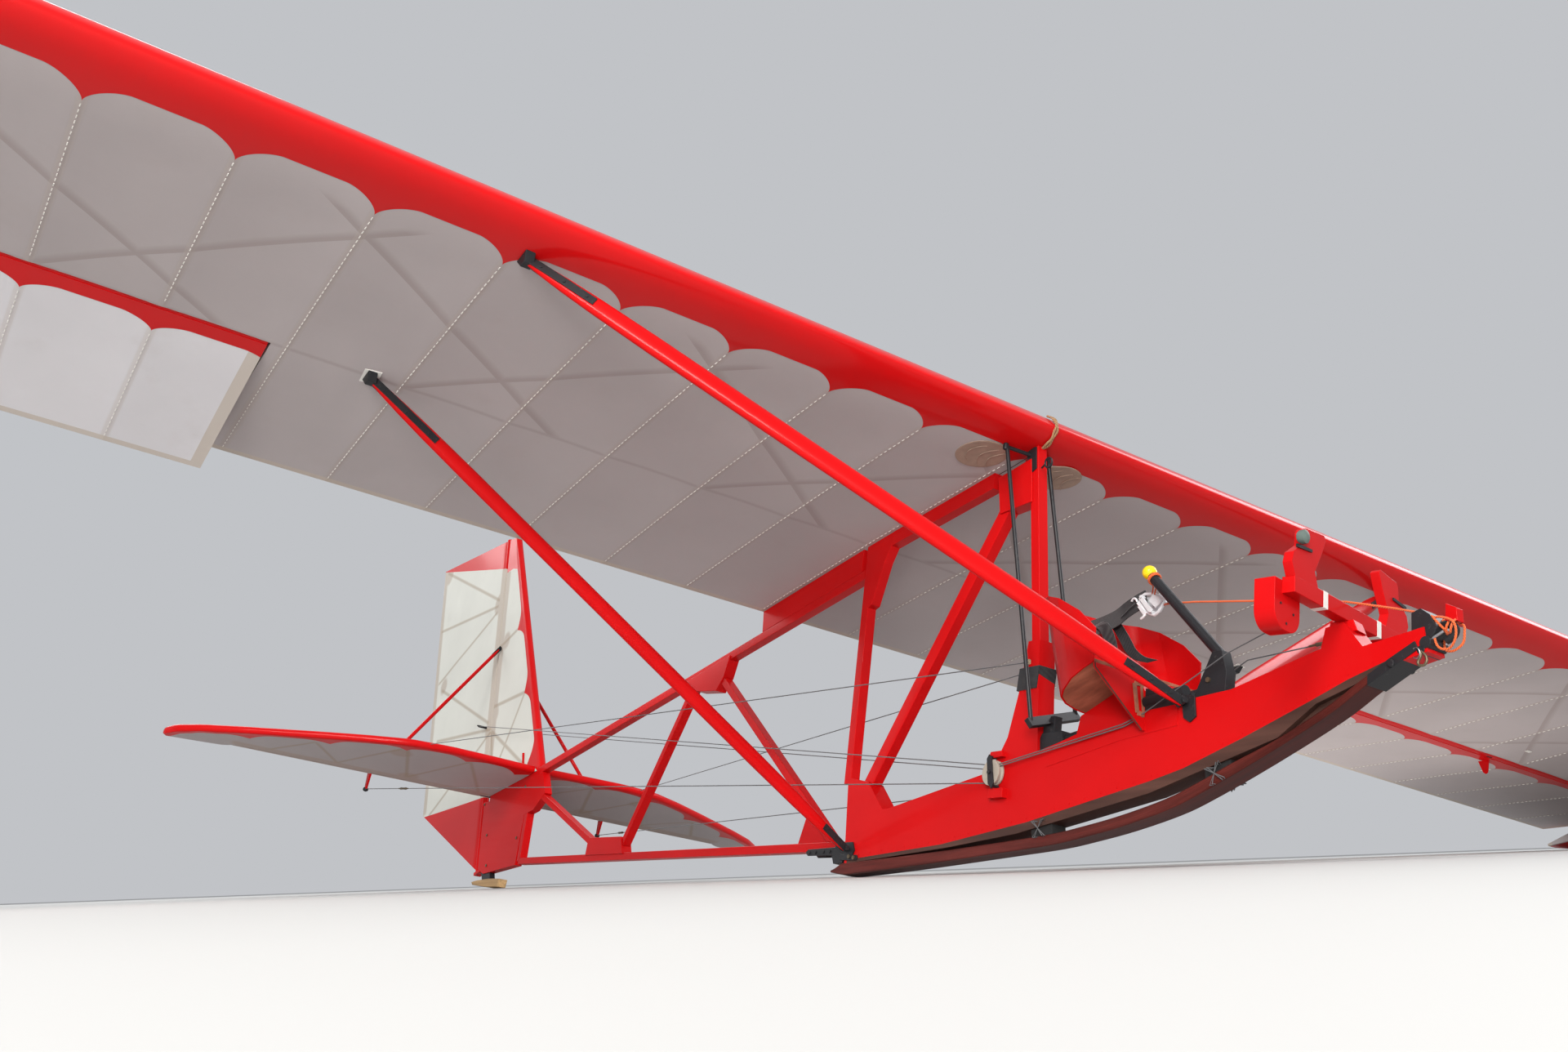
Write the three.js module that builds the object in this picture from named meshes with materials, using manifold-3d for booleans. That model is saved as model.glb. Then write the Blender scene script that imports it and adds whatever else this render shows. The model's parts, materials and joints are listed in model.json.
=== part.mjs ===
// Primary training sailplane with an open lattice fuselage, a strut-braced
// high wing and a cruciform tail. It is modelled in millimetres, nose
// towards +X, port side towards +Y, +Z up.
//
// The fuselage frame has its ground line level and its origin under the
// seat. The wing and the stabiliser are set at the same angle to it. At the
// end the whole sailplane is tipped onto its port wing tip, as it parks.
import * as THREE from 'three';
import * as BufferGeometryUtils from 'three/addons/utils/BufferGeometryUtils.js';
import Module from 'manifold-3d';

const wasm = await Module();
wasm.setup();

// Overall sizes
const HALF_SPAN = 5200;
const RIB_PITCH = 320;
const LEADING_EDGE = 180;
const TRAILING_EDGE = -1345;
const RIGGING_ANGLE = THREE.MathUtils.degToRad(8.9);
const GROUND = -50;
const SEAT_GAP = 0.3;
const RUNNING_GAP = 6;

// Wing, in its own frame: x = 0 is the edge of the plywood nose
const WING_ORIGIN = { x: -328, z: 1128 };
const TIP_START = 15 * RIB_PITCH;
const TIP_CENTRE = -480;
const HINGE_X = -716;
const AILERON_INNER = 1990;
const AILERON_OUTER = 4790;
const AILERON_REST = THREE.MathUtils.degToRad(8);
const AILERON_HORN_Y = 3400;
const AILERON_HORN_END = -62;

// Tail
const TAIL_ORIGIN = { x: -4059, z: 392 };
const STABILISER_THICKNESS = 34;
const ELEVATOR_REST = THREE.MathUtils.degToRad(22);
const ELEVATOR_CHORD = 430;
const ELEVATOR_TUBE_RADIUS = 14;
const TAIL_SPAN_HALF = 1530;
const RUDDER_FOOT = { x: -4030, z: 30 };
const RUDDER_HEAD = { x: -4490, z: 1785 };
const HINGE_TUBE_RADIUS = 16;
const PIN_RADIUS = 8;
const PIN_BORE = 8.6;
const PIN_LENGTH = 24;
const PIN_END_GAP = 3;

// Timber sections of the lattice, across and deep
const HULL_WIDTH = 56;
const BOOM_WIDTH = 34;
const UPPER_BOOM_DEPTH = 31;
const LOWER_BOOM_DEPTH = 28;
const DIAGONAL_DEPTH = 27;
const SKID_WIDTH = 60;
const PLY = 5;
const BOLT_RADIUS = 8;

const paint = (color, roughness, metalness = 0) => () =>
  new THREE.MeshStandardMaterial({ color, roughness, metalness });
const RED = paint(0xc8191a, 0.3);
const FABRIC = paint(0xc9c2c4, 0.75);
const CREAM = paint(0xe6dfcf, 0.7);
const DARK_WOOD = paint(0x3c1512, 0.4);
const BARE_WOOD = paint(0xa07a4a, 0.6);
const BLACK = paint(0x17171a, 0.45, 0.2);
const STEEL = paint(0xb8babd, 0.3, 1);
const YELLOW = paint(0xe6c012, 0.4);
const WEBBING = paint(0x1a1a1c, 0.85);
const RUBBER = paint(0x1b1a1a, 0.8);

// Solids and meshes
function toSolid(geometry) {
  const bare = new THREE.BufferGeometry();
  bare.setAttribute('position', geometry.getAttribute('position').clone());
  if (geometry.index) bare.setIndex(geometry.index.clone());
  const merged = BufferGeometryUtils.mergeVertices(bare, 1e-4);
  return new wasm.Manifold(new wasm.Mesh({
    numProp: 3,
    vertProperties: new Float32Array(merged.attributes.position.array),
    triVerts: new Uint32Array(merged.index.array),
  }));
}

function toGeometry(solid) {
  const mesh = solid.getMesh();
  const geometry = new THREE.BufferGeometry();
  geometry.setAttribute('position', new THREE.BufferAttribute(mesh.vertProperties, 3));
  geometry.setIndex(new THREE.BufferAttribute(mesh.triVerts, 1));
  geometry.computeVertexNormals();
  return geometry;
}

function node(name, solid, material) {
  const mesh = new THREE.Mesh(toGeometry(solid), material());
  mesh.name = name;
  return mesh;
}

const joined = (...solids) => solids.reduce((all, solid) => all.add(solid));

function largest(solid) {
  return solid.decompose().reduce((best, piece) => (piece.volume() > best.volume() ? piece : best));
}

// The member ends against its neighbours with the seating gap all round
function seated(member, ...neighbours) {
  const steps = [[1, 0, 0], [-1, 0, 0], [0, 1, 0], [0, -1, 0], [0, 0, 1], [0, 0, -1]];
  let left = member;
  for (const neighbour of neighbours) {
    for (const step of steps) {
      left = left.subtract(neighbour.translate(step.map((s) => s * SEAT_GAP)));
    }
  }
  return largest(left);
}

// A plate cut to a side view of x, z points, centred on y
function plate(points, width, y = 0) {
  const outline = new THREE.Shape(points.map(([x, z]) => new THREE.Vector2(x, z)));
  const geometry = new THREE.ExtrudeGeometry(outline, { depth: width, bevelEnabled: false });
  geometry.rotateX(Math.PI / 2);
  geometry.translate(0, y + width / 2, 0);
  return toSolid(geometry);
}

// A board cut to a plan view of x, y points, centred on z
function board(points, thickness, z = 0) {
  const outline = new THREE.Shape(points.map(([x, y]) => new THREE.Vector2(x, y)));
  const geometry = new THREE.ExtrudeGeometry(outline, { depth: thickness, bevelEnabled: false });
  geometry.translate(0, 0, z - thickness / 2);
  return toSolid(geometry);
}

// A block cut to a front view of y, z points, centred on x
function frontBlock(points, length, x) {
  const outline = new THREE.Shape(points.map(([y, z]) => new THREE.Vector2(y, z)));
  const geometry = new THREE.ExtrudeGeometry(outline, { depth: length, bevelEnabled: false });
  geometry.applyMatrix4(new THREE.Matrix4().makeBasis(
    new THREE.Vector3(0, 1, 0), new THREE.Vector3(0, 0, 1), new THREE.Vector3(1, 0, 0)));
  geometry.translate(x - length / 2, 0, 0);
  return toSolid(geometry);
}

function placed(geometry, start, end) {
  const from = new THREE.Vector3(...start);
  const along = new THREE.Vector3(...end).sub(from);
  const turn = new THREE.Quaternion();
  const x = along.clone().normalize();
  const side = Math.abs(x.y) > 0.95 ? new THREE.Vector3(-1, 0, 0) : new THREE.Vector3(0, 1, 0);
  const z = new THREE.Vector3().crossVectors(x, side).normalize();
  const y = new THREE.Vector3().crossVectors(z, x);
  turn.setFromRotationMatrix(new THREE.Matrix4().makeBasis(x, y, z));
  geometry.applyQuaternion(turn);
  geometry.translate(...from.addScaledVector(along, 0.5));
  return toSolid(geometry);
}

const distance = (start, end) => new THREE.Vector3(...start).distanceTo(new THREE.Vector3(...end));

// A square timber between two points
function timber(start, end, width, depth) {
  return placed(new THREE.BoxGeometry(distance(start, end), width, depth), start, end);
}

// A round rod between two points
function rod(start, end, radius, sides = 16) {
  const geometry = new THREE.CylinderGeometry(radius, radius, distance(start, end), sides);
  geometry.rotateZ(Math.PI / 2);
  return placed(geometry, start, end);
}

function ball(centre, radius) {
  const geometry = new THREE.SphereGeometry(radius, 20, 12);
  geometry.translate(...centre);
  return toSolid(geometry);
}

// A closed skin over rings of points that share their count
function loft(rings) {
  const count = rings[0].length;
  const positions = rings.flat(2);
  const triangles = [];
  for (let r = 0; r < rings.length - 1; r += 1) {
    for (let i = 0; i < count; i += 1) {
      const a = r * count + i;
      const b = r * count + ((i + 1) % count);
      triangles.push(a, b, a + count, b, b + count, a + count);
    }
  }
  const last = (rings.length - 1) * count;
  for (const [first, turn] of [[0, 1], [last, -1]]) {
    const flat = THREE.ShapeUtils.triangulateShape(
      rings[first / count].map(([x, , z]) => new THREE.Vector2(x, z)), []);
    for (const [a, b, c] of flat) {
      triangles.push(first + a, first + (turn > 0 ? b : c), first + (turn > 0 ? c : b));
    }
  }
  const geometry = new THREE.BufferGeometry();
  geometry.setAttribute('position', new THREE.Float32BufferAttribute(positions, 3));
  geometry.setIndex(triangles);
  const solid = toSolid(geometry);
  if (solid.volume() > 0) return solid;
  const { array } = geometry.index;
  for (let i = 0; i < array.length; i += 3) [array[i], array[i + 1]] = [array[i + 1], array[i]];
  return toSolid(geometry);
}

// Wing section: x, upper and lower height
const SECTION = [
  { x: TRAILING_EDGE, upper: -8, lower: -18 },
  { x: -1220, upper: 28, lower: -14 },
  { x: -1080, upper: 64, lower: -10 },
  { x: -900, upper: 103, lower: -6 },
  { x: HINGE_X, upper: 136, lower: -2 },
  { x: -500, upper: 166, lower: 0 },
  { x: -300, upper: 180, lower: 0 },
  { x: -120, upper: 172, lower: 0 },
  { x: 0, upper: 154, lower: 0 },
  { x: 80, upper: 127, lower: 3 },
  { x: 135, upper: 100, lower: 12 },
  { x: 165, upper: 74, lower: 26 },
  { x: LEADING_EDGE, upper: 52, lower: 40 },
];
const SECTION_MIDDLE = 80;

function wingRing(y, chordScale, depthScale) {
  const upper = SECTION.map(({ x, upper: z }) => [x, z]);
  const lower = SECTION.map(({ x, lower: z }) => [x, z]).reverse();
  return [...upper, ...lower].map(([x, z]) => [
    TIP_CENTRE + (x - TIP_CENTRE) * chordScale,
    y,
    SECTION_MIDDLE + (z - SECTION_MIDDLE) * depthScale,
  ]);
}

// Half wing towards +Y, with a tip that is round in plan
function wingSkin() {
  const rings = [wingRing(SEAT_GAP, 1, 1), wingRing(TIP_START, 1, 1)];
  const steps = 8;
  for (let i = 1; i <= steps; i += 1) {
    const angle = (i / steps) * 0.47 * Math.PI;
    const y = TIP_START + (HALF_SPAN - TIP_START) * Math.sin(angle) / Math.sin(0.47 * Math.PI);
    rings.push(wingRing(y, Math.cos(angle) ** 0.55, Math.cos(angle) ** 0.8));
  }
  return loft(rings);
}

const mirrored = (solid) => solid.mirror([0, 1, 0]);

const hingeSection = SECTION.find(({ x }) => x === HINGE_X);
const HINGE_Z = (hingeSection.upper + hingeSection.lower) / 2;
const HINGE_RADIUS = (hingeSection.upper - hingeSection.lower) / 2 - 2;

// Everything behind the hinge between two ribs, with a round nose
function aileronSpace(inner, outer, radius) {
  const behind = plate([[HINGE_X, -400], [HINGE_X, 500], [-2000, 500], [-2000, -400]],
    outer - inner, (inner + outer) / 2);
  const nose = rod([HINGE_X, inner, HINGE_Z], [HINGE_X, outer, HINGE_Z], radius, 36);
  return joined(behind, nose);
}

function aileron() {
  const space = aileronSpace(AILERON_INNER + RUNNING_GAP, AILERON_OUTER - RUNNING_GAP, HINGE_RADIUS);
  const horn = plate([
    [HINGE_X - 15, 20], [HINGE_X - 80, 20], [HINGE_X - 45, AILERON_HORN_END], [HINGE_X - 25, AILERON_HORN_END],
  ], PLY, AILERON_HORN_Y);
  const pin = hingePin(PIN_RADIUS, PIN_LENGTH - RUNNING_GAP);
  return joined(wingSkin().intersect(space), horn, pin).translate([-HINGE_X, 0, -HINGE_Z]);
}

// One pin through the aileron, with its ends in the ribs beside it
function hingePin(radius, reach) {
  return rod([HINGE_X, AILERON_INNER - reach, HINGE_Z], [HINGE_X, AILERON_OUTER + reach, HINGE_Z], radius, 24);
}

const wing = wingSkin()
  .subtract(aileronSpace(AILERON_INNER, AILERON_OUTER, HINGE_RADIUS + RUNNING_GAP))
  .subtract(hingePin(PIN_BORE, PIN_LENGTH - RUNNING_GAP + PIN_END_GAP));

function tilted(group, x, z, angle) {
  group.position.set(x, 0, z);
  group.rotation.y = -angle;
  return group;
}

function movedAileron(name, solid, angle) {
  const group = new THREE.Group();
  group.position.set(HINGE_X, 0, HINGE_Z);
  group.rotation.y = angle;
  group.add(node(name, solid, FABRIC));
  return group;
}

function wingGroup() {
  const group = tilted(new THREE.Group(), WING_ORIGIN.x, WING_ORIGIN.z, RIGGING_ANGLE);
  group.add(
    node('wing_port', wing, FABRIC),
    node('wing_starboard', mirrored(wing), FABRIC),
    movedAileron('aileron_port', aileron(), AILERON_REST),
    movedAileron('aileron_starboard', mirrored(aileron()), -AILERON_REST),
  );
  return group;
}

// A point given in the wing frame, moved to the fuselage frame
function fromWing(x, y, z) {
  return new THREE.Vector3(x, y, z)
    .applyAxisAngle(new THREE.Vector3(0, 1, 0), -RIGGING_ANGLE)
    .add(new THREE.Vector3(WING_ORIGIN.x, 0, WING_ORIGIN.z))
    .toArray();
}

function wingInFuselage() {
  const degrees = THREE.MathUtils.radToDeg(RIGGING_ANGLE);
  return wing.rotate([0, -degrees, 0]).translate([WING_ORIGIN.x, 0, WING_ORIGIN.z]);
}

// Keel hull: one plywood box with the seat post, the seat support and the
// rudder bar post cut from the same side panel
const HULL = [
  [-939, -18], [-968, 246], [-859, 224], [-773, 137], [-742, 137], [-567, 164], [-316, 207],
  [-262, 246], [-228, 300], [-196, 419], [-172, 560], [-128, 560], [-104, 250], [40, 280],
  [52, 328], [246, 404], [276, 362], [384, 324], [430, 330], [541, 337], [787, 397],
  [798, 441], [845, 446], [892, 386], [1037, 405], [1045, 352], [986, 341], [776, 277],
  [676, 213], [475, 161], [303, 116], [28, 71], [-164, 40], [-449, 14],
];
const FRONT_FITTING = { x: 412, z: 308 };
const REAR_FITTING = { x: -916, z: 20 };
const PULLEY = { x: -258, z: 198 };
const throughHull = ({ x, z }, radius, reach) => rod([x, -reach, z], [x, reach, z], radius, 20);
const boltHole = (place) => throughHull(place, BOLT_RADIUS + SEAT_GAP, HULL_WIDTH);
const TUBE_START = [405, 0, 343];
const TUBE_END = [-24, 0, 284];
const tubeChannel = timber([398, 0, 342], [20, 0, 289], 38, 44);
const SEAT_FRONT = 252;
const bridgeNotch = plate([
  [SEAT_FRONT - 1, 380], [SEAT_FRONT + 12, 380], [SEAT_FRONT + 12, 430], [SEAT_FRONT - 1, 430],
], 2 * HULL_WIDTH);
const hull = [FRONT_FITTING, REAR_FITTING, PULLEY].reduce(
  (all, place) => all.subtract(boltHole(place)),
  plate(HULL, HULL_WIDTH).subtract(tubeChannel).subtract(bridgeNotch));

const MAST = [[-171, 558], [-223, 990], [-246, 1180], [-213, 1190], [-190, 990], [-139, 558]];
const wingRoot = joined(wingInFuselage(), mirrored(wingInFuselage()));
const mast = seated(plate(MAST, BOOM_WIDTH), hull, wingRoot);
const POST_HEAD = [[-990, 800], [-965, 808], [-918, 945], [-885, 1000], [-885, 1060], [-990, 1060]];
const rearPost = seated(
  joined(timber([-988, 0, 230], [-1008, 0, 1060], BOOM_WIDTH, 34), plate(POST_HEAD, BOOM_WIDTH)),
  hull, wingRoot);
const GUSSET = [[-371, 1093], [-228, 1118], [-212, 981], [-350, 975]];
const mastGusset = seated(plate(GUSSET, BOOM_WIDTH + 2 * PLY), mast, wingRoot);
const mainDiagonal = seated(timber([-905, 0, 180], [-322, 0, 1000], BOOM_WIDTH, 44),
  hull, mastGusset, rearPost);

const upperBoom = seated(timber([-3500, 0, 460], [-1020, 0, 922], BOOM_WIDTH, UPPER_BOOM_DEPTH), rearPost);
const lowerBoom = seated(timber([-3530, 0, 61], [-950, 0, 37], BOOM_WIDTH, LOWER_BOOM_DEPTH), hull);
const RAIL = [[-395, 1140], [-395, 1068], [-985, 978], [-985, 1060]];
const REAR_RAIL = [[-1045, 1060], [-1045, 930], [-1640, 820], [-1655, 930]];
const rootRail = seated(plate(RAIL, BOOM_WIDTH), wingRoot, mastGusset, rearPost, mainDiagonal);
const rearRail = seated(plate(REAR_RAIL, BOOM_WIDTH), wingRoot, rearPost, upperBoom);

const UPPER_GUSSET = [[-2060, 655], [-2165, 706], [-1845, 766], [-1870, 690], [-1915, 640]];
const LOWER_GUSSET = [[-2820, 64], [-2815, 135], [-2515, 128], [-2480, 60]];
const upperGusset = seated(plate(UPPER_GUSSET, BOOM_WIDTH + 2 * PLY), upperBoom);
const lowerGusset = seated(plate(LOWER_GUSSET, BOOM_WIDTH + 2 * PLY), lowerBoom);
const frontDiagonal = seated(timber([-1900, 0, 690], [-1010, 0, 30], BOOM_WIDTH, DIAGONAL_DEPTH),
  upperGusset, lowerBoom, hull);
const rearDiagonal = seated(timber([-2090, 0, 710], [-2530, 0, 70], BOOM_WIDTH, DIAGONAL_DEPTH),
  upperGusset, lowerGusset, upperBoom);

// Tail panel, post and fin
const TAIL_PANEL = [
  [-3440, 470], [-3362, 356], [-3466, 286], [-3560, 270], [-3560, 44], [-3930, 12],
  [-4007, 36], [-4088, 356], [-4022, 356], [-4022, 405],
];

// A point of the rudder hinge, this far up it from its foot and ahead of it
const rudderUp = new THREE.Vector2(RUDDER_HEAD.x - RUDDER_FOOT.x, RUDDER_HEAD.z - RUDDER_FOOT.z).normalize();
const onRudder = (up, ahead) => [
  RUDDER_FOOT.x + up * rudderUp.x + ahead * rudderUp.y,
  RUDDER_FOOT.z + up * rudderUp.y - ahead * rudderUp.x,
];
const rudderPin = (radius, endGap) => {
  const [lowX, lowZ] = onRudder(-PIN_LENGTH + 2 - endGap, 0);
  const [highX, highZ] = onRudder(PIN_LENGTH, 0);
  return rod([lowX, 0, lowZ], [highX, 0, highZ], radius, 24);
};
const HEEL = [
  onRudder(-RUNNING_GAP, -22), onRudder(-RUNNING_GAP, 44), onRudder(-20, 44), onRudder(-20, -22),
];
const tailPanel = seated(
  joined(plate(TAIL_PANEL, BOOM_WIDTH), plate(HEEL, BOOM_WIDTH)).subtract(rudderPin(PIN_BORE, PIN_END_GAP)),
  upperBoom, lowerBoom);
const tailPost = seated(timber([-3540, 0, 300], [-3528, 0, 60], BOOM_WIDTH, 34), tailPanel, lowerBoom);
const tailDiagonal = seated(timber([-3500, 0, 385], [-2780, 0, 110], BOOM_WIDTH, DIAGONAL_DEPTH),
  tailPanel, lowerGusset);

const FIN_GAP = HINGE_TUBE_RADIUS + RUNNING_GAP;
const rudderSlope = (RUDDER_HEAD.x - RUDDER_FOOT.x) / (RUDDER_HEAD.z - RUDDER_FOOT.z);
const rudderAxisX = (z) => RUDDER_FOOT.x + rudderSlope * (z - RUDDER_FOOT.z);
const FIN = [
  [-3460, 470], [-4355, 1778], [rudderAxisX(1784) + FIN_GAP, 1784],
  [rudderAxisX(446) + FIN_GAP, 446], [-4000, 446], [-4000, 408],
];

// Stabiliser in the tail frame: x = 0 is the elevator hinge
const STABILISER = [
  [HINGE_TUBE_RADIUS + RUNNING_GAP, BOOM_WIDTH / 2 + SEAT_GAP], [540, BOOM_WIDTH / 2 + SEAT_GAP], [554, 250],
  [560, 430], [540, 610], [465, 780], [366, 970], [206, 1260], [120, 1400], [40, 1490], [-60, TAIL_SPAN_HALF],
  [-50, 1440], [-22, 1250], [22, 1250],
];
const ELEVATOR = [
  [0, 60], [-ELEVATOR_CHORD, 275], [-ELEVATOR_CHORD, 900], [-350, 1180], [-210, 1330], [-95, 1395],
  [-42, 1240], [0, 1240],
];
const ELEVATOR_HORN_Y = 600;

function inTail(solid) {
  const degrees = THREE.MathUtils.radToDeg(RIGGING_ANGLE);
  return solid.rotate([0, -degrees, 0]).translate([TAIL_ORIGIN.x, 0, TAIL_ORIGIN.z]);
}

const elevatorPin = (radius, endGap) => rod([0, 1200, 0], [0, 1250 + PIN_LENGTH + endGap, 0], radius, 24);
const stabiliserBoard = board(STABILISER, STABILISER_THICKNESS)
  .subtract(elevatorPin(PIN_BORE, PIN_END_GAP));
const stabiliser = inTail(stabiliserBoard);
const bothStabilisers = joined(stabiliser, mirrored(stabiliser));
const fin = seated(plate(FIN, BOOM_WIDTH), tailPanel, bothStabilisers, upperBoom);

function elevatorHalf() {
  const skin = board(ELEVATOR, STABILISER_THICKNESS - 10);
  const nose = rod([0, 60, 0], [0, 1240, 0], HINGE_TUBE_RADIUS, 20);
  const horn = plate([[0, 0], [-30, 0], [-12, -95], [6, -95]], 14, ELEVATOR_HORN_Y);
  return joined(skin, nose, horn, elevatorPin(PIN_RADIUS, 0));
}

function elevatorGroup() {
  const group = tilted(new THREE.Group(), TAIL_ORIGIN.x, TAIL_ORIGIN.z, RIGGING_ANGLE - ELEVATOR_REST);
  const half = elevatorHalf();
  const tube = rod([0, -60 + SEAT_GAP, 0], [0, 60 - SEAT_GAP, 0], ELEVATOR_TUBE_RADIUS, 20);
  group.add(
    node('elevator_port', half, CREAM),
    node('elevator_starboard', mirrored(half), CREAM),
    node('elevator_torque_tube', tube, BLACK),
  );
  return group;
}

// Rudder with a straight hinge tube
const RUDDER = [
  [RUDDER_HEAD.x, RUDDER_HEAD.z], [-5300, 1800], [-5490, 1812], [-4992, 338], [RUDDER_FOOT.x, RUDDER_FOOT.z],
];

function rudder() {
  const skin = plate(RUDDER, 24);
  const tube = rod([RUDDER_FOOT.x, 0, RUDDER_FOOT.z], [RUDDER_HEAD.x, 0, RUDDER_HEAD.z], HINGE_TUBE_RADIUS, 20);
  return joined(skin, tube, rudderPin(PIN_RADIUS, 0));
}

// Bracing struts with slim ends
function strut(foot, head, width, depth) {
  const length = distance(foot, head);
  const stations = [
    { at: -0.5, size: 0.55 }, { at: -0.47, size: 1 }, { at: 0.47, size: 1 }, { at: 0.5, size: 0.55 },
  ];
  const sides = 16;
  const rings = stations.map(({ at, size }) => Array.from({ length: sides }, (unused, i) => {
    const angle = -(i / sides) * 2 * Math.PI;
    return [Math.cos(angle) * depth * size / 2, at * length, Math.sin(angle) * width * size / 2];
  }));
  const from = new THREE.Vector3(...foot);
  const along = new THREE.Vector3(...head).sub(from);
  const y = along.clone().normalize();
  const z = new THREE.Vector3(1, 0, 0).cross(y).normalize();
  const x = new THREE.Vector3().crossVectors(y, z);
  const matrix = new THREE.Matrix4().makeBasis(x, y, z);
  matrix.setPosition(from.addScaledVector(along, 0.5));
  return loft(rings).transform(matrix.elements);
}

const frontHead = fromWing(60, 1594, -2);
const rearHead = fromWing(-690, 1719, -4);

// A fitting: one plate on each side of the hull and a bolt through both
function fitting(points, place, thickness) {
  const y = HULL_WIDTH / 2 + SEAT_GAP + thickness / 2;
  return joined(plate(points, thickness, y), plate(points, thickness, -y),
    throughHull(place, BOLT_RADIUS, y));
}
const FRONT_PLATE = [[380, 330], [400, 342], [436, 334], [442, 284], [424, 272], [404, 284], [398, 318]];
const REAR_PLATE = [[-940, 44], [-900, 44], [-888, 20], [-900, -4], [-936, -4]];
const frontFitting = fitting(FRONT_PLATE, FRONT_FITTING, PLY);
const rearFitting = fitting(REAR_PLATE, REAR_FITTING, PLY);
const frontStrut = seated(strut([408, 44, 318], frontHead, 32, 52), frontFitting, wingInFuselage(), hull);
const rearStrut = seated(strut([-924, 42, 24], rearHead, 30, 46), rearFitting, wingInFuselage(), hull);
const finStrutHead = [-4275, BOOM_WIDTH / 2, 1161];
const tailStrut = seated(rod(finStrutHead, [-4019, 572, 415], 9, 12), fin, stabiliser);

// Skid: a bow below the hull with rubber blocks between
const SKID_UNDERSIDE = [
  [-1005, -40], [-950, -48], [-900, GROUND], [-498, -28], [-214, -9], [-31, 4], [88, 18], [354, 60],
  [452, 91], [621, 158], [804, 241], [904, 300], [975, 338],
];
const SKID_THICKNESS = 19;
const skidTop = SKID_UNDERSIDE.map(([x, z]) => [x, z + SKID_THICKNESS]).reverse();
const skid = seated(plate([...SKID_UNDERSIDE, ...skidTop], SKID_WIDTH), hull);

function skidBlock(x, z) {
  const block = timber([x - 38, 0, z - 10], [x + 38, 0, z + 6], 46, 90);
  return seated(block, hull, skid);
}
const NOSE_RAIL = [[640, 212], [700, 205], [810, 250], [905, 305], [905, 330], [776, 290], [640, 230]];
const noseRail = seated(plate(NOSE_RAIL, 30), hull, skid);

// Tail skid: shoe and bracket
const SHOE = [
  [-4050, -24], [-4030, -38], [-3850, GROUND], [-3715, GROUND], [-3708, -14], [-3850, -12], [-3990, -18],
];
const tailShoe = plate(SHOE, SKID_WIDTH - 16);
const tailBracket = seated(plate([[-3980, 40], [-3870, 40], [-3835, -20], [-3935, -20]], 26),
  tailPanel, tailShoe);

// Seat: a sloping pan with a round rear end in a bent shell that leans back
const SEAT_HALF = [
  [340, 178], [213, 180], [163, 175], [110, 155], [82, 137], [62, 106], [51, 70], [46, 35], [45, 0],
];
const PAN_FRONT = { x: SEAT_FRONT, z: 406.4 };
const PAN_SLOPE = 0.3918;
const PAN_THICKNESS = 8;
const RECLINE = 0.31;

// The seat plan set outwards by a distance, drawn up into a leaning column
function seatColumn(outset) {
  const half = SEAT_HALF.map(([x, y], i) => {
    const [beforeX, beforeY] = SEAT_HALF[Math.max(i - 1, 0)];
    const [afterX, afterY] = SEAT_HALF[Math.min(i + 1, SEAT_HALF.length - 1)];
    const along = new THREE.Vector2(afterX - beforeX, afterY - beforeY).normalize();
    const sideways = y === 0 ? [-1, 0] : [along.y, -along.x];
    return [x + sideways[0] * outset, y + sideways[1] * outset];
  });
  const other = half.slice(0, -1).map(([x, y]) => [x, -y]).reverse();
  const lean = new THREE.Matrix4().makeShear(0, 0, 0, 0, -RECLINE, 0);
  lean.elements[12] = RECLINE * PAN_FRONT.z;
  return board([...half, ...other], 700, 500).transform(lean.elements);
}
const panHeight = (x) => PAN_FRONT.z + (x - PAN_FRONT.x) * PAN_SLOPE + SEAT_GAP;
const PAN_SIDE = [
  [PAN_FRONT.x, panHeight(PAN_FRONT.x)], [PAN_FRONT.x, panHeight(PAN_FRONT.x) + PAN_THICKNESS],
  [0, panHeight(0) + PAN_THICKNESS], [0, panHeight(0)],
];
const SHELL_SIDE = [
  [SEAT_FRONT, panHeight(SEAT_FRONT)], [SEAT_FRONT, 492], [191, 546], [110, 592], [50, 613], [-120, 640],
  [-120, panHeight(-120)],
];
const seatPan = seated(seatColumn(0).intersect(plate(PAN_SIDE, 500)), hull);
const seatShell = seated(
  seatColumn(PLY + SEAT_GAP).subtract(seatColumn(SEAT_GAP)).intersect(plate(SHELL_SIDE, 500)), hull, mast);
const BULKHEAD = [[-184, 404], [184, 404], [184, 392], [40, 266], [-40, 266], [-184, 392]];
const BULKHEAD_SIDE = [[SEAT_FRONT, 404], [SEAT_FRONT + 6, 404], [SEAT_FRONT + 28, 266], [SEAT_FRONT + 22, 266]];
const seatBulkhead = seated(
  plate(BULKHEAD_SIDE, 400).intersect(frontBlock(BULKHEAD, 200, SEAT_FRONT)), hull, seatPan, seatShell);

// Stick, torque tube, crank, rudder bar and hook
const STICK_FOOT = [496, 0, 420];
const STICK_HEAD = [250, 0, 672];
const bracket = seated(plate([[410, 322], [512, 332], [515, 385], [498, 440], [470, 440]], 32), hull);
const stick = seated(rod(STICK_FOOT, STICK_HEAD, 13), bracket);
const knob = seated(ball([240, 0, 684], 19), stick);

const crank = seated(joined(
  plate([[-130, 244], [-20, 262], [-24, 300], [-100, 300]], 40),
  timber([-64, -100, 306], [-100, 100, 372], 26, 14),
  plate([[-104, 290], [-62, 290], [-62, 345], [-104, 345]], 26),
), hull, seatPan, seatShell);
const torqueTube = seated(rod(TUBE_START, TUBE_END, 10), bracket, crank, hull);

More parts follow.
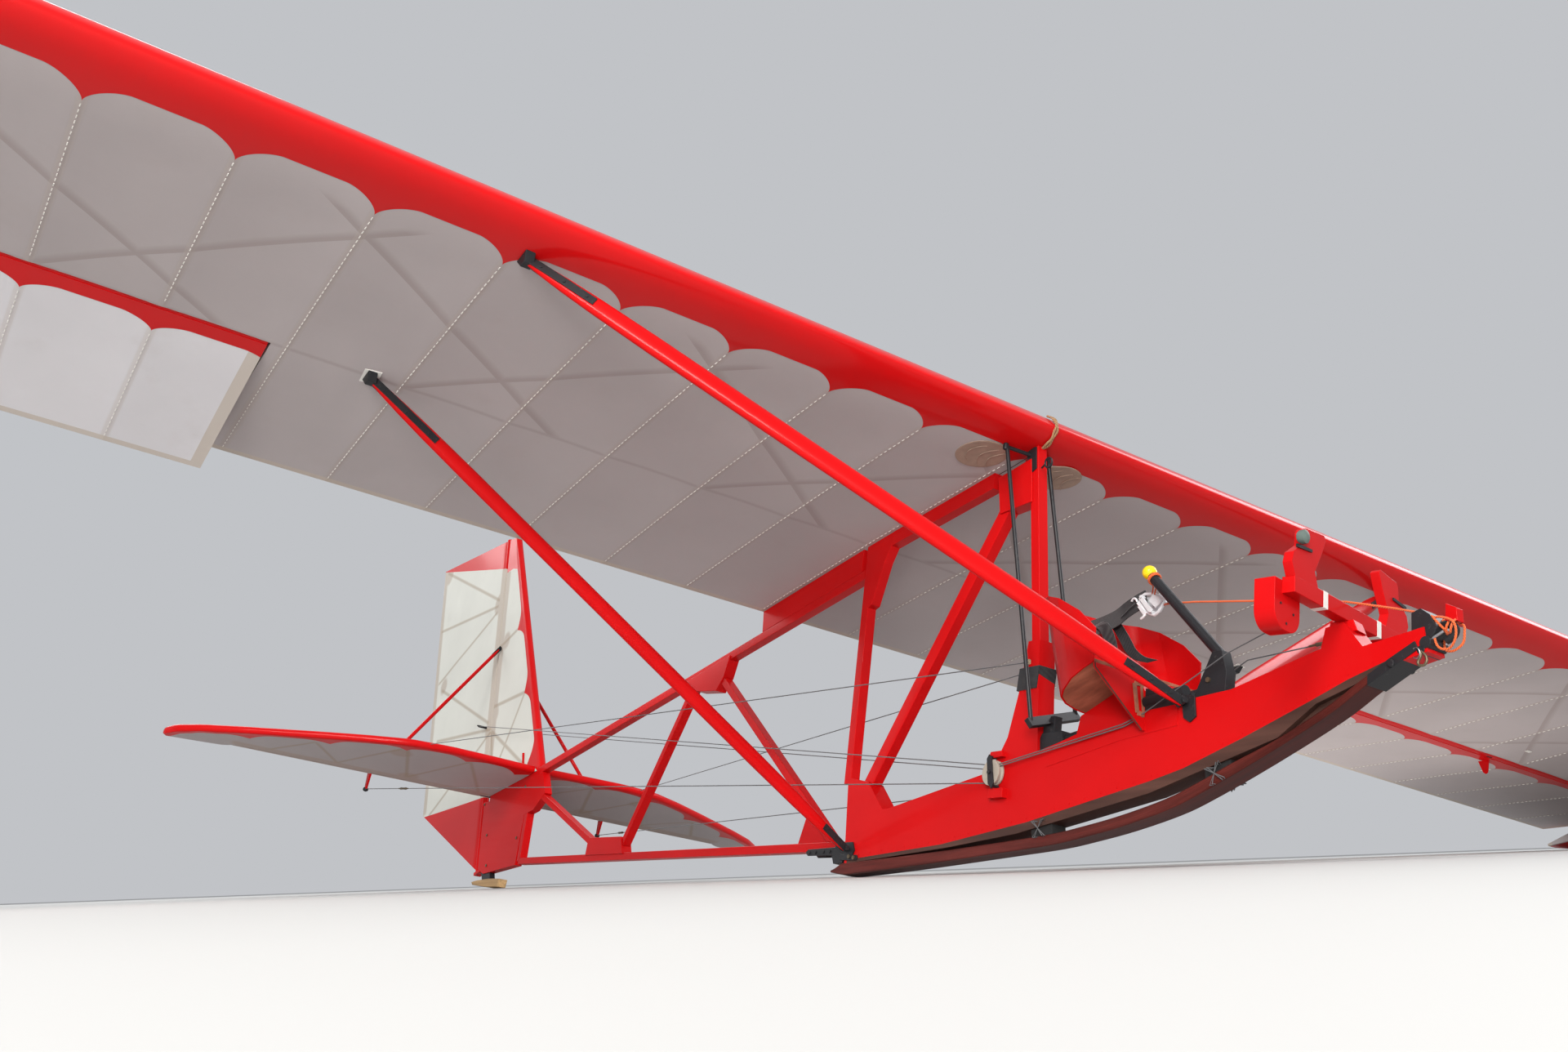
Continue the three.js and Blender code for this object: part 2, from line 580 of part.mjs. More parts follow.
const pushRodPort = seated(rod([-98, 90, 374], fromWing(92, 48, -2), 6, 12), crank, wingInFuselage(), seatShell);
const pushRodStarboard = seated(rod([-66, -90, 314], fromWing(80, -98, -2), 6, 12),
  crank, mirrored(wingInFuselage()), seatShell);

// The rudder bar stands a little turned, with a foot board on each side of
// the keel; each board passes behind the bar and ends in a heel rest
const BAR = { x: 830, z: 470, width: 30, depth: 36, reach: 200, turn: 10 };
const turned = (solid) => solid.translate([-BAR.x, 0, 0]).rotate([0, 0, BAR.turn]).translate([BAR.x, 0, 0]);
const rudderBar = seated(joined(
  turned(timber([BAR.x, -BAR.reach, BAR.z], [BAR.x, BAR.reach, BAR.z], BAR.width, BAR.depth)),
  plate([[796, 430], [868, 430], [858, 460], [804, 460]], 40),
), hull);
const PEDAL_SIDE = [
  [734, 456], [738, 428], [768, 402], [796, 384], [808, 392], [818, 440], [818, 490], [876, 590], [864, 596],
  [804, 504], [800, 456],
];
const PEDAL_FACE = [
  [112, 404], [128, 384], [182, 384], [196, 398], [196, 582], [184, 594], [124, 594], [112, 582],
];
const pedalBoard = plate(PEDAL_SIDE, 400).intersect(frontBlock(PEDAL_FACE, 200, BAR.x));
const pedal = (solid) => seated(turned(solid), rudderBar, hull);
const noseHook = seated(joined(
  plate([[1020, 412], [1075, 428], [1120, 385], [1095, 345], [1060, 340], [1046, 352], [1030, 412]], 40),
  plate([[1040, 350], [1060, 350], [1060, 318], [1040, 318]], 12),
), hull, skid);

const sheaveY = HULL_WIDTH / 2 + SEAT_GAP;
const sheave = rod([PULLEY.x, sheaveY, PULLEY.z], [PULLEY.x, sheaveY + 20, PULLEY.z], 27, 24);
const pulleys = joined(sheave, mirrored(sheave), throughHull(PULLEY, BOLT_RADIUS, sheaveY + 10));

// Harness: webbing over the seat back and down to the side, with its buckle
const buckle = plate([[171, 606], [232, 584], [238, 602], [176, 626]], 62, 52);
const strap = seated(joined(
  plate([[-60, 592], [-20, 584], [30, 570], [185, 612], [183, 620], [30, 578], [-20, 592], [-60, 600]], 34, 52),
  timber([92, 68, 592], [150, 132, 494], 22, 5),
), seatShell, seatPan, buckle);

// The sailplane, level in the fuselage frame
const glider = new THREE.Group();
glider.add(
  wingGroup(),
  elevatorGroup(),
  node('rudder', rudder(), CREAM),
  node('hull', hull, RED),
  node('mast', mast, RED),
  node('mast_gusset', mastGusset, RED),
  node('rear_post', rearPost, RED),
  node('main_diagonal', mainDiagonal, RED),
  node('root_rail_front', rootRail, RED),
  node('root_rail_rear', rearRail, RED),
  node('upper_boom', upperBoom, RED),
  node('lower_boom', lowerBoom, RED),
  node('upper_gusset', upperGusset, RED),
  node('lower_gusset', lowerGusset, RED),
  node('front_diagonal', frontDiagonal, RED),
  node('rear_diagonal', rearDiagonal, RED),
  node('tail_diagonal', tailDiagonal, RED),
  node('tail_panel', tailPanel, RED),
  node('tail_post', tailPost, RED),
  node('fin', fin, CREAM),
  node('stabiliser_port', stabiliser, FABRIC),
  node('stabiliser_starboard', mirrored(stabiliser), FABRIC),
  node('front_strut_port', frontStrut, RED),
  node('front_strut_starboard', mirrored(frontStrut), RED),
  node('rear_strut_port', rearStrut, RED),
  node('rear_strut_starboard', mirrored(rearStrut), RED),
  node('front_fitting', frontFitting, BLACK),
  node('rear_fitting', rearFitting, BLACK),
  node('tail_strut_port', tailStrut, RED),
  node('tail_strut_starboard', mirrored(tailStrut), RED),
  node('skid', skid, DARK_WOOD),
  node('skid_block_rear', skidBlock(-70, 42), RUBBER),
  node('skid_block_front', skidBlock(510, 140), RUBBER),
  node('nose_rail', noseRail, BARE_WOOD),
  node('tail_skid_shoe', tailShoe, BARE_WOOD),
  node('tail_skid_bracket', tailBracket, BLACK),
  node('seat_pan', seatPan, BARE_WOOD),
  node('seat_shell', seatShell, RED),
  node('seat_bulkhead', seatBulkhead, RED),
  node('torque_tube', torqueTube, BLACK),
  node('stick_bracket', bracket, BLACK),
  node('stick', stick, BLACK),
  node('stick_knob', knob, YELLOW),
  node('aileron_crank', crank, BLACK),
  node('push_rod_port', pushRodPort, BLACK),
  node('push_rod_starboard', pushRodStarboard, BLACK),
  node('rudder_bar', rudderBar, RED),
  node('pedal_port', pedal(pedalBoard), RED),
  node('pedal_starboard', pedal(mirrored(pedalBoard)), RED),
  node('nose_hook', noseHook, BLACK),
  node('cable_pulleys', pulleys, STEEL),
  node('harness_strap', strap, WEBBING),
  node('harness_buckle', buckle, STEEL),
);

// Parked: the port wing tip comes down to the ground beside the skids
function parkingRoll(group, edge) {
  group.updateMatrixWorld(true);
  const tip = group.getObjectByName('wing_port');
  const { position } = tip.geometry.attributes;
  const point = new THREE.Vector3();
  let roll = Math.PI;
  for (let i = 0; i < position.count; i += 1) {
    point.fromBufferAttribute(position, i).applyMatrix4(tip.matrixWorld);
    roll = Math.min(roll, Math.atan2(point.z - GROUND, point.y - edge));
  }
  return roll;
}

const parked = new THREE.Group();
parked.add(glider);
parked.rotation.x = -parkingRoll(glider, (SKID_WIDTH - 16) / 2);
parked.updateMatrixWorld(true);
const box = new THREE.Box3().setFromObject(parked, true);
parked.position.set(
  -(box.min.x + box.max.x) / 2,
  -(box.min.y + box.max.y) / 2,
  -box.min.z,
);

export default parked;
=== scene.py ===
# Looks for a primary training sailplane: doped fabric wings and tail, glossy
# red timber, a laminated skid, the open seat with its controls, and rigging.
import json
import math
import random

import bmesh
import bpy
from mathutils import Matrix, Vector


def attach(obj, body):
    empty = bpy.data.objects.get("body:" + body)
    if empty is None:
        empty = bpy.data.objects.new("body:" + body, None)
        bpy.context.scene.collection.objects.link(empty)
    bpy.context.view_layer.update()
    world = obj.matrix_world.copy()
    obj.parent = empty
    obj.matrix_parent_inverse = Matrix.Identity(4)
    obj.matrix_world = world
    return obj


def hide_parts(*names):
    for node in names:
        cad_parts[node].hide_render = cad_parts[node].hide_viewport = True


bl_info = {
    "name": "Training Sailplane Looks",
    "version": (1, 0, 0),
    "blender": (4, 5, 0),
    "location": "3D View > Sidebar > Sailplane",
    "description": "Finishes, rigging and small fittings of an open training sailplane",
    "category": "Object",
}

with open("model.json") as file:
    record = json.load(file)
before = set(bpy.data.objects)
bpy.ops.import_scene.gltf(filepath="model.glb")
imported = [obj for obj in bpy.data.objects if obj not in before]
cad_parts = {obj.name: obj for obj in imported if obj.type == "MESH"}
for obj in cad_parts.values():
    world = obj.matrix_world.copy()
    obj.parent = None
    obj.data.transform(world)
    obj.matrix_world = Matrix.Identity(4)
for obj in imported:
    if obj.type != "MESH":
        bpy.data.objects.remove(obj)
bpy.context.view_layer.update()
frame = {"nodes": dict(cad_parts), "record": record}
NODES = frame["nodes"]
RECORD = frame["record"]

# The frames of the body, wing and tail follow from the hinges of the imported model
JOINTS = {joint["name"]: joint for joint in RECORD["behaviour"]["joints"]}
SPAN = Vector(JOINTS["elevator_hinge"]["axis"])
ROLL = math.atan2(SPAN.z, SPAN.y)
RIGGING = math.radians(8.9)
AILERON_REST = math.radians(8.0)
ELEVATOR_REST = math.radians(22.0)
WING_ORIGIN = Vector((-0.328, 0.0, 1.128))
TAIL_ORIGIN = Vector((-4.059, 0.0, 0.392))
HINGE = Vector((-0.716, 0.0, 0.067))
RIB_START = 0.030
RIB_PITCH = 0.320
TIP_START = 4.800
AILERON_INNER = 1.990
AILERON_OUTER = 4.790
TIP_LENGTH = 0.400
TIP_CENTRE_X = -0.480
TIP_CENTRE_Z = 0.080
TIP_TURN = 0.47 * math.pi
HORN_STATION = 3.400
REAR_SPAR = -0.690
# How far the red nose reaches back beside a rib, and how wide one scallop is
SCALLOP_DEPTH = 0.074
SCALLOP_WIDTH = 0.09
# Softness of a painted edge
PAINT_EDGE = 0.0012
# Where the stitches over a rib begin and end
STITCH_FRONT = -0.015
STITCH_BACK = -1.315
# Half the thickness of the hull with its strake
STRAKE_FACE = 0.0292
# Directions of the frame, and the two sides of the sailplane
ALONG = (1, 0, 0)
ACROSS = (0, 1, 0)
UP = (0, 0, 1)
SIDES = (("starboard", -1), ("port", 1))

ROLLED = Matrix.Rotation(ROLL, 4, "X")
SHIFT = Vector(JOINTS["elevator_hinge"]["pos_m"]) - ROLLED @ TAIL_ORIGIN
BODY = Matrix.Translation(SHIFT) @ ROLLED
WING = BODY @ Matrix.Translation(WING_ORIGIN) @ Matrix.Rotation(-RIGGING, 4, "Y")
TAIL = BODY @ Matrix.Translation(TAIL_ORIGIN) @ Matrix.Rotation(-RIGGING, 4, "Y")
ELEVATOR = (BODY @ Matrix.Translation(TAIL_ORIGIN)
            @ Matrix.Rotation(ELEVATOR_REST - RIGGING, 4, "Y"))


def aileron_frame(angle):
    """Wing coordinates carried round with an aileron that rests at an angle."""
    return (WING @ Matrix.Translation(HINGE) @ Matrix.Rotation(angle, 4, "Y")
            @ Matrix.Translation(-HINGE))


AILERON_PORT = aileron_frame(AILERON_REST)
AILERON_STARBOARD = aileron_frame(-AILERON_REST)

# Wing section: x, upper and lower height
SECTION = [
    (-1.345, -0.008, -0.018), (-1.220, 0.028, -0.014), (-1.080, 0.064, -0.010),
    (-0.900, 0.103, -0.006), (-0.716, 0.136, -0.002), (-0.500, 0.166, 0.0),
    (-0.300, 0.180, 0.0), (-0.120, 0.172, 0.0), (0.0, 0.154, 0.0), (0.080, 0.127, 0.003),
    (0.135, 0.100, 0.012), (0.165, 0.074, 0.026), (0.180, 0.052, 0.040),
]


def section_height(x, upper):
    """Height of the wing skin over its own base line."""
    column = 1 if upper else 2
    for before, after in zip(SECTION, SECTION[1:]):
        if before[0] <= x <= after[0]:
            part = (x - before[0]) / (after[0] - before[0])
            return before[column] + (after[column] - before[column]) * part
    return SECTION[-1][column]


class SailplaneSizes(bpy.types.PropertyGroup):
    stitch_pitch: bpy.props.FloatProperty(
        name="Stitch pitch", description="Distance between rib stitches", default=0.021,
        min=0.005, unit="LENGTH")
    stitch_length: bpy.props.FloatProperty(
        name="Stitch length", description="Length of one rib stitch", default=0.010,
        min=0.002, unit="LENGTH")
    cable_radius: bpy.props.FloatProperty(
        name="Cable radius", description="Half the thickness of the control cables", default=0.0016,
        min=0.0005, unit="LENGTH")
    cord_radius: bpy.props.FloatProperty(
        name="Tie radius", description="Half the thickness of the orange tie", default=0.0026,
        min=0.0005, unit="LENGTH")


class SailplaneColours(bpy.types.PropertyGroup):
    red: bpy.props.FloatVectorProperty(
        name="Red", description="Gloss paint of the timber", subtype="COLOR",
        default=(0.54, 0.004, 0.005), min=0, max=1)
    fabric: bpy.props.FloatVectorProperty(
        name="Wing fabric", description="Doped fabric of the wings", subtype="COLOR",
        default=(0.43, 0.385, 0.385), min=0, max=1)
    # The starboard aileron's paler fabric is a lighter copy of the wing fabric: painted light, as that
    # aileron catches more light
    aileron: bpy.props.FloatVectorProperty(
        name="Aileron fabric", description="Paler fabric of the starboard aileron", subtype="COLOR",
        default=(0.65, 0.635, 0.655), min=0, max=1)
    cream: bpy.props.FloatVectorProperty(
        name="Tail fabric", description="Doped fabric of the fin and rudder", subtype="COLOR",
        default=(0.61, 0.61, 0.56), min=0, max=1)
    mahogany: bpy.props.FloatVectorProperty(
        name="Skid wood", description="Dark laminated skid", subtype="COLOR",
        default=(0.074, 0.012, 0.009), min=0, max=1)
    plywood: bpy.props.FloatVectorProperty(
        name="Plywood", description="Bare plywood of the seat", subtype="COLOR",
        default=(0.27, 0.095, 0.055), min=0, max=1)


def sizes():
    return bpy.context.scene.sailplane_sizes


def colours():
    return bpy.context.scene.sailplane_colours


# Shader maths
class Wire:
    """A node socket that takes part in Python expressions."""

    def __init__(self, sheet, socket):
        self.sheet = sheet
        self.socket = socket

    def _maths(self, operation, *values):
        return self.sheet.node("ShaderNodeMath", {"operation": operation}, *values)

    def __add__(self, other):
        return self._maths("ADD", self, other)

    def __radd__(self, other):
        return self._maths("ADD", other, self)

    def __sub__(self, other):
        return self._maths("SUBTRACT", self, other)

    def __rsub__(self, other):
        return self._maths("SUBTRACT", other, self)

    def __mul__(self, other):
        return self._maths("MULTIPLY", self, other)

    def __rmul__(self, other):
        return self._maths("MULTIPLY", other, self)

    def __truediv__(self, other):
        return self._maths("DIVIDE", self, other)

    def __neg__(self):
        return self._maths("MULTIPLY", self, -1.0)

    def __abs__(self):
        return self._maths("ABSOLUTE", self)

    def power(self, other):
        return self._maths("POWER", self, other)

    def wrap(self, length):
        """The remainder over a repeat, never below zero."""
        return self._maths("FLOORED_MODULO", self, length)

    def least(self, other):
        return self._maths("MINIMUM", self, other)

    def most(self, other):
        return self._maths("MAXIMUM", self, other)

    def clamped(self):
        return self.least(1.0).most(0.0)

    def above(self, level, soft=0.001):
        """1 where the value is over the level, with a soft step."""
        return ((self - level) / soft + 0.5).clamped()

    def below(self, level, soft=0.001):
        return 1.0 - self.above(level, soft)

    def line(self, centre, half, soft=0.002):
        """1 within half of the centre."""
        return abs(self - centre).below(half, soft)


class Sheet:
    """A material under construction."""

    def __init__(self, name):
        self.material = bpy.data.materials.new(name)
        self.material.use_nodes = True
        self.tree = self.material.node_tree
        self.shader = self.tree.nodes["Principled BSDF"]

    def node(self, kind, settings=None, *values, output=0, **named):
        made = self.tree.nodes.new(kind)
        for key, value in (settings or {}).items():
            if key == "stops":
                ramp = made.color_ramp
                while len(ramp.elements) < len(value):
                    ramp.elements.new(1.0)
                for element, (at, colour) in zip(ramp.elements, value):
                    element.position = at
                    element.color = (*colour, 1.0)
            else:
                setattr(made, key, value)
        for i, value in enumerate(values):
            self.feed(made.inputs[i], value)
        for key, value in named.items():
            self.feed(made.inputs[key.replace("_", " ")], value)
        return Wire(self, made.outputs[output])

    def feed(self, socket, value):
        if isinstance(value, Wire):
            self.tree.links.new(value.socket, socket)
        elif value is not None:
            if isinstance(value, (tuple, list, Vector)) and socket.type == "RGBA" and len(value) == 3:
                value = (*value, 1.0)
            socket.default_value = value

    def place(self, matrix):
        """Object coordinates, moved into another frame."""
        back = matrix.inverted()
        return self.node("ShaderNodeMapping", {"vector_type": "POINT"},
                         self.node("ShaderNodeTexCoord", output=3), back.to_translation(),
                         back.to_euler("XYZ"))

    def stretched(self, vector, factors):
        return self.node("ShaderNodeVectorMath", {"operation": "MULTIPLY"}, vector, factors)

    def lengthwise(self):
        """Distance along a shape and across it, from the shape's own map."""
        return self.split(self.node("ShaderNodeUVMap", {"uv_map": "along"}))[:2]

    def bands(self, vector, way, scale, distortion):
        """Fine waves that run over one direction."""
        return self.node("ShaderNodeTexWave", {"wave_type": "BANDS", "bands_direction": way}, vector,
                         Scale=scale, Distortion=distortion, output=1)

    def figured(self, figure, colour, light):
        """Timber colour, darker and lighter along its figure."""
        return self.node("ShaderNodeValToRGB", {"stops": [
            (0.30, tint(colour, 0.55)), (0.50, colour), (0.72, tint(colour, light))]}, figure)

    def split(self, vector):
        made = self.tree.nodes.new("ShaderNodeSeparateXYZ")
        self.feed(made.inputs[0], vector)
        return [Wire(self, out) for out in made.outputs]

    def noise(self, vector, scale, detail=3.0, roughness=0.55):
        return self.node("ShaderNodeTexNoise", None, vector, Scale=scale, Detail=detail,
                         Roughness=roughness)

    def mix(self, factor, first, second):
        made = self.tree.nodes.new("ShaderNodeMix")
        made.data_type = "RGBA"
        self.feed(made.inputs[0], factor)
        self.feed(made.inputs[6], first)
        self.feed(made.inputs[7], second)
        return Wire(self, made.outputs[2])

    def bump(self, height, strength=0.3, distance=0.001):
        return self.node("ShaderNodeBump", None, Strength=strength, Distance=distance, Height=height)

    def finish(self, base, roughness, normal=None, metallic=0.0, coat=0.0, sheen=0.0, gloss=0.22):
        self.feed(self.shader.inputs["Base Color"], base)
        self.feed(self.shader.inputs["Roughness"], roughness)
        self.feed(self.shader.inputs["Metallic"], metallic)
        self.feed(self.shader.inputs["Coat Weight"], coat)
        self.shader.inputs["Coat Roughness"].default_value = 0.10
        self.shader.inputs["Specular IOR Level"].default_value = gloss
        self.shader.inputs["Sheen Weight"].default_value = sheen
        if normal is not None:
            self.feed(self.shader.inputs["Normal"], normal)
        return self.material


def tint(colour, factor):
    """A colour made darker or lighter."""
    return tuple(min(1.0, channel * factor) for channel in colour)


def gloss_paint(name, along):
    """Brushed gloss red with a hint of grain below it."""
    sheet = Sheet(name)
    red = tuple(colours().red)
    point = sheet.place(BODY)
    tone = sheet.noise(point, 2.3, 4.0)
    streak = sheet.noise(sheet.stretched(point, along), 3.0, 2.0)
    base = sheet.mix((tone - 0.35) * 1.4, tint(red, 0.86), tint(red, 1.10))
    rough = 0.27 + streak * 0.14
    normal = sheet.bump(tone, 0.10, 0.004)
    return sheet.finish(base, rough, normal, coat=0.12, gloss=0.05)


def rib_distance(y):
    """Distance from the nearest rib, in metres."""
    phase = (abs(y) - RIB_START).wrap(RIB_PITCH)
    return phase.least(RIB_PITCH - phase)


def scallop(distance):
    """How far a scalloped border stands back from its cusps at the ribs."""
    rest = (1.0 - distance / SCALLOP_WIDTH).clamped()
    return (1.0 - rest.power(1.6)).power(1.0 / 1.6) * SCALLOP_DEPTH


def weave(sheet, point):
    """Fine cloth texture under dope."""
    return sheet.bands(point, "X", 170.0, 0.6) * sheet.bands(point, "Y", 170.0, 0.6)


def strongest(masks):
    """The largest of several masks at each place, or None without any."""
    found = None
    for mask in masks:
        found = mask if found is None else found.most(mask)
    return found


def wing_fabric(name, matrix, cloth, aileron=False):
    """Doped fabric with red plywood nose, scallops, tapes and painted shadows of the frame within."""
    sheet = Sheet(name)
    red = tuple(colours().red)
    point = sheet.place(matrix)
    x, y, _ = sheet.split(point)
    span = abs(y)
    rib = rib_distance(y)
    curve = scallop(rib)
    if aileron:
        painted = x.above(-0.812 + curve * 0.64, PAINT_EDGE)
    else:
        painted = x.above(curve, PAINT_EDGE).most(span.above(TIP_START + 0.004, PAINT_EDGE))
    tone = sheet.noise(point, 1.7, 5.0)
    stain = (sheet.noise(point, 5.5, 7.0, 0.62) - 0.56).clamped() * 2.2
    base = sheet.mix(tone.clamped(), tint(cloth, 0.88), tint(cloth, 1.12))
    base = sheet.mix(stain * 0.30, base, (0.36, 0.30, 0.27))
    # Painted shadow of the diagonal bracing within the wing, between the front of the wing and the rear
    # spar
    down = (span * 0.93 + x - 2.592).wrap(0.893)
    up = (span * -0.78 + x + 1.612).wrap(0.749)
    brace_shadow = down.below(0.030, 0.030).most(up.below(0.028, 0.030))
    brace_shadow = brace_shadow * x.above(REAR_SPAR, 0.02) * x.below(0.0, 0.04)
    # Painted shadow along each rib
    frame_shadow = rib.below(0.010, 0.012) * 0.32
    tape = x.below(-1.322, 0.001).most(rib.below(0.011, 0.001) * 0.22)
    if aileron:
        tape = tape.most(span.below(AILERON_INNER + 0.040, 0.001))
        tape = tape.most(span.above(AILERON_OUTER - 0.040, 0.001))
    else:
        frame_shadow = (brace_shadow * 0.55).most(x.line(REAR_SPAR, 0.007, 0.01) * 0.40).most(frame_shadow)
    # Painted shadow of ribs, bracing and the rear spar crease: a darker, warmer fabric colour
    base = sheet.mix(frame_shadow, base, tint((cloth[0] * 1.06, cloth[1] * 0.98, cloth[2] * 0.92), 0.66))
    base = sheet.mix(tape * 0.75, base, (0.50, 0.43, 0.36))
    paint_tone = sheet.mix(sheet.noise(point, 1.3, 3.0).clamped(), tint(red, 0.86), tint(red, 1.12))
    base = sheet.mix(painted, base, paint_tone)
    if not aileron:
        base = sheet.mix(span.below(0.0016, 0.0006), base, (0.06, 0.02, 0.02))
    rough = 0.54 - painted * 0.19 + stain * 0.1
    taut = (rib / (RIB_PITCH / 2)).clamped()
    sag = (1.0 - painted) * (1.0 - (1.0 - taut).power(2.2)) * -6.0
    ridge = rib.below(0.004, 0.006) * (1.0 - painted)
    height = sag + ridge * 0.5 + weave(sheet, point) * (1.0 - painted) * 0.10 + painted * 0.12
    normal = sheet.bump(height, 0.55, 0.0012)
    return sheet.finish(base, rough, normal, coat=painted * 0.35, gloss=0.08)


def near_line(across, up, start, end, half, soft=0.009):
    """1 close to the line between two points of a plane."""
    (ax, az), (bx, bz) = start, end
    length = math.hypot(bx - ax, bz - az)
    ux, uz = (bx - ax) / length, (bz - az) / length
    along = (across - ax) * ux + (up - az) * uz
    aside = abs((across - ax) * -uz + (up - az) * ux)
    return aside.below(half, soft) * along.line(length / 2, length / 2, 0.02)


def beyond_line(across, up, start, end, soft=0.0015):
    """1 on the left of the line from start to end."""
    (ax, az), (bx, bz) = start, end
    length = math.hypot(bx - ax, bz - az)
    aside = (across - ax) * ((az - bz) / length) + (up - az) * ((bx - ax) / length)
    return aside.above(0.0, soft)


def tail_fabric(name, matrix, plan, ribs, tapes, patches=(), edge=0.0, cusps=(), reds=(), cloth=None):
    """Thin fabric of the tail: the frame's shadow is painted through it in brown, tapes lie along some
    edges, the front edge is red with cusps.
    """
    sheet = Sheet(name)
    red = tuple(colours().red)
    cloth = cloth or tuple(colours().cream)
    point = sheet.place(matrix)
    parts = sheet.split(point)
    across, up = parts[0], abs(parts[1]) if plan else parts[2]
    tone = sheet.noise(point, 3.1, 5.0)
    stain = (sheet.noise(point, 7.0, 6.0, 0.6) - 0.58).clamped() * 2.0
    base = sheet.mix(tone.clamped(), tint(cloth, 0.90), tint(cloth, 1.08))
    base = sheet.mix(stain * 0.35, base, tint(cloth, 0.66))
    shadow = strongest([near_line(across, up, *rib) for rib in ribs])
    # Round patches: painted shadow of the gussets within
    round_shadow_patches = [((across - x).power(2.0) + (up - z).power(2.0)).power(0.5).below(radius, 0.02)
                     for x, z, radius in patches]
    # Brown bands: tape along trailing edges, painted shadow of the frame along spars and hinges and at
    # the patches
    soft = strongest([near_line(across, up, *tape, 0.012) for tape in tapes] + round_shadow_patches)
    base = sheet.mix(soft * 0.55, base, (0.36, 0.27, 0.21))
    base = sheet.mix(shadow * 0.60, base, (0.33, 0.26, 0.19))
    paint = [beyond_line(across, up, *line) for line in reds]
    if edge:
        u, v = sheet.lengthwise()
        rests = [((1.0 - abs(v - at) / 0.105).clamped(), depth) for at, depth in cusps]
        border = strongest([rest.power(1.9) * depth + edge for rest, depth in rests])
        paint.append(u.below(border, 0.0015))
    painted = strongest(paint)
    height = weave(sheet, point) * 0.1 + shadow * 0.6
    coat, rough = 0.0, 0.55 + stain * 0.1
    if painted:
        coat, rough = painted * 0.15, 0.57 - painted * 0.20
        base = sheet.mix(painted, base, sheet.mix(tone.clamped(), tint(red, 0.88), tint(red, 1.1)))
        height = height * (1.0 - painted)
    return sheet.finish(base, rough, sheet.bump(height, 0.5, 0.0012), coat=coat, gloss=0.06)


def plain(name, colour, rough, metallic, grain, vary, depth, coat=0.0):
    """A finish with its own mottling and a fine surface."""
    sheet = Sheet(name)
    point = sheet.place(BODY)
    tone = sheet.noise(point, grain, 5.0)
    fine = sheet.noise(point, grain * 9.0, 3.0)
    base = sheet.mix(tone.clamped(), tint(colour, 1.0 - vary), tint(colour, 1.0 + vary))
    rough_map = (tone - 0.5) * 0.25 + rough
    return sheet.finish(base, rough_map, sheet.bump(tone * 0.5 + fine * 0.4, depth, 0.0006),
                        metallic=metallic, coat=coat)


def worn_metal(name, colour):
    """Dark painted steel with bare flecks."""
    sheet = Sheet(name)
    point = sheet.place(BODY)
    flecks = (sheet.noise(point, 70.0, 8.0, 0.72) - 0.60).clamped() * 1.75
    smear = sheet.noise(point, 14.0, 4.0)
    base = sheet.mix(smear.clamped(), tint(colour, 0.7), tint(colour, 1.5))
    base = sheet.mix(flecks.clamped(), base, (0.24, 0.23, 0.22))
    return sheet.finish(base, 0.38 + smear * 0.2, sheet.bump(smear + flecks * -0.6, 0.2, 0.0006),
                        metallic=flecks.clamped() * 0.8, coat=0.1)


def wood(name, colour, rough, grain):
    """Bare timber with grain along x."""
    sheet = Sheet(name)
    point = sheet.place(BODY)
    long_point = sheet.stretched(point, (0.06, 1.0, 1.0))
    figure = sheet.noise(long_point, grain, 7.0, 0.65)
    pores = sheet.noise(long_point, grain * 8.0, 3.0, 0.6)
    base = sheet.figured(figure, colour, 1.7)
    base = sheet.mix((pores - 0.55).clamped() * 1.6, base, tint(colour, 0.4))
    height = figure * 0.6 + pores * 0.4
    return sheet.finish(base, rough + (figure - 0.5) * 0.3, sheet.bump(height, 0.25, 0.0008))


def laminated(name, colour):
    """Dark glued strips bent along the skid, patterned by the skid's own map."""
    sheet = Sheet(name)
    u, v = sheet.lengthwise()
    across = sheet.split(sheet.place(BODY))[1]
    grain = sheet.node("ShaderNodeCombineXYZ", None, u * 0.06, across, v)
    figure = sheet.noise(grain, 34.0, 7.0, 0.65)
    pores = sheet.noise(grain, 260.0, 3.0, 0.6)
    base = sheet.figured(figure, colour, 1.8)
    seam = v.wrap(0.0048).below(0.0007, 0.0006)
    base = sheet.mix(seam * 0.5, base, tint(colour, 0.35))
    worn = (sheet.noise(grain, 6.0, 4.0) - 0.58).clamped() * 2.0
    base = sheet.mix(worn * 0.4, base, tint(colour, 2.2))
    rough = 0.34 + (figure - 0.5) * 0.3 + worn * 0.2
    height = figure * 0.6 + pores * 0.3 - seam * 0.5
    return sheet.finish(base, rough, sheet.bump(height, 0.25, 0.0008), coat=0.04, gloss=0.12)


def webbing(name, colour):
    """Woven strap with ribs across it."""
    sheet = Sheet(name)
    point = sheet.place(BODY)
    ribs, yarn = sheet.bands(point, "X", 230.0, 0.4), sheet.bands(point, "Y", 120.0, 0.3)
    dust = (sheet.noise(point, 30.0, 5.0) - 0.5).clamped() * 1.2
    base = sheet.mix(dust, colour, (0.07, 0.065, 0.06))
    return sheet.finish(base, 0.82, sheet.bump(ribs * yarn, 0.5, 0.0008), sheen=0.25)


def rope(name, colour, twist):
    """Twisted cord, patterned by its own lengthwise map."""
    sheet = Sheet(name)
    u, v = sheet.lengthwise()
    strand = (u * twist + v * 3.0).wrap(1.0)
    lay = 1.0 - abs(strand - 0.5) * 2.0
    # Darker in the grooves between strands: painted shade
    base = sheet.mix(lay.clamped(), tint(colour, 0.45), tint(colour, 1.15))
    return sheet.finish(base, 0.7, sheet.bump(lay, 0.6, 0.0008), sheen=0.2)


MATERIALS = {}
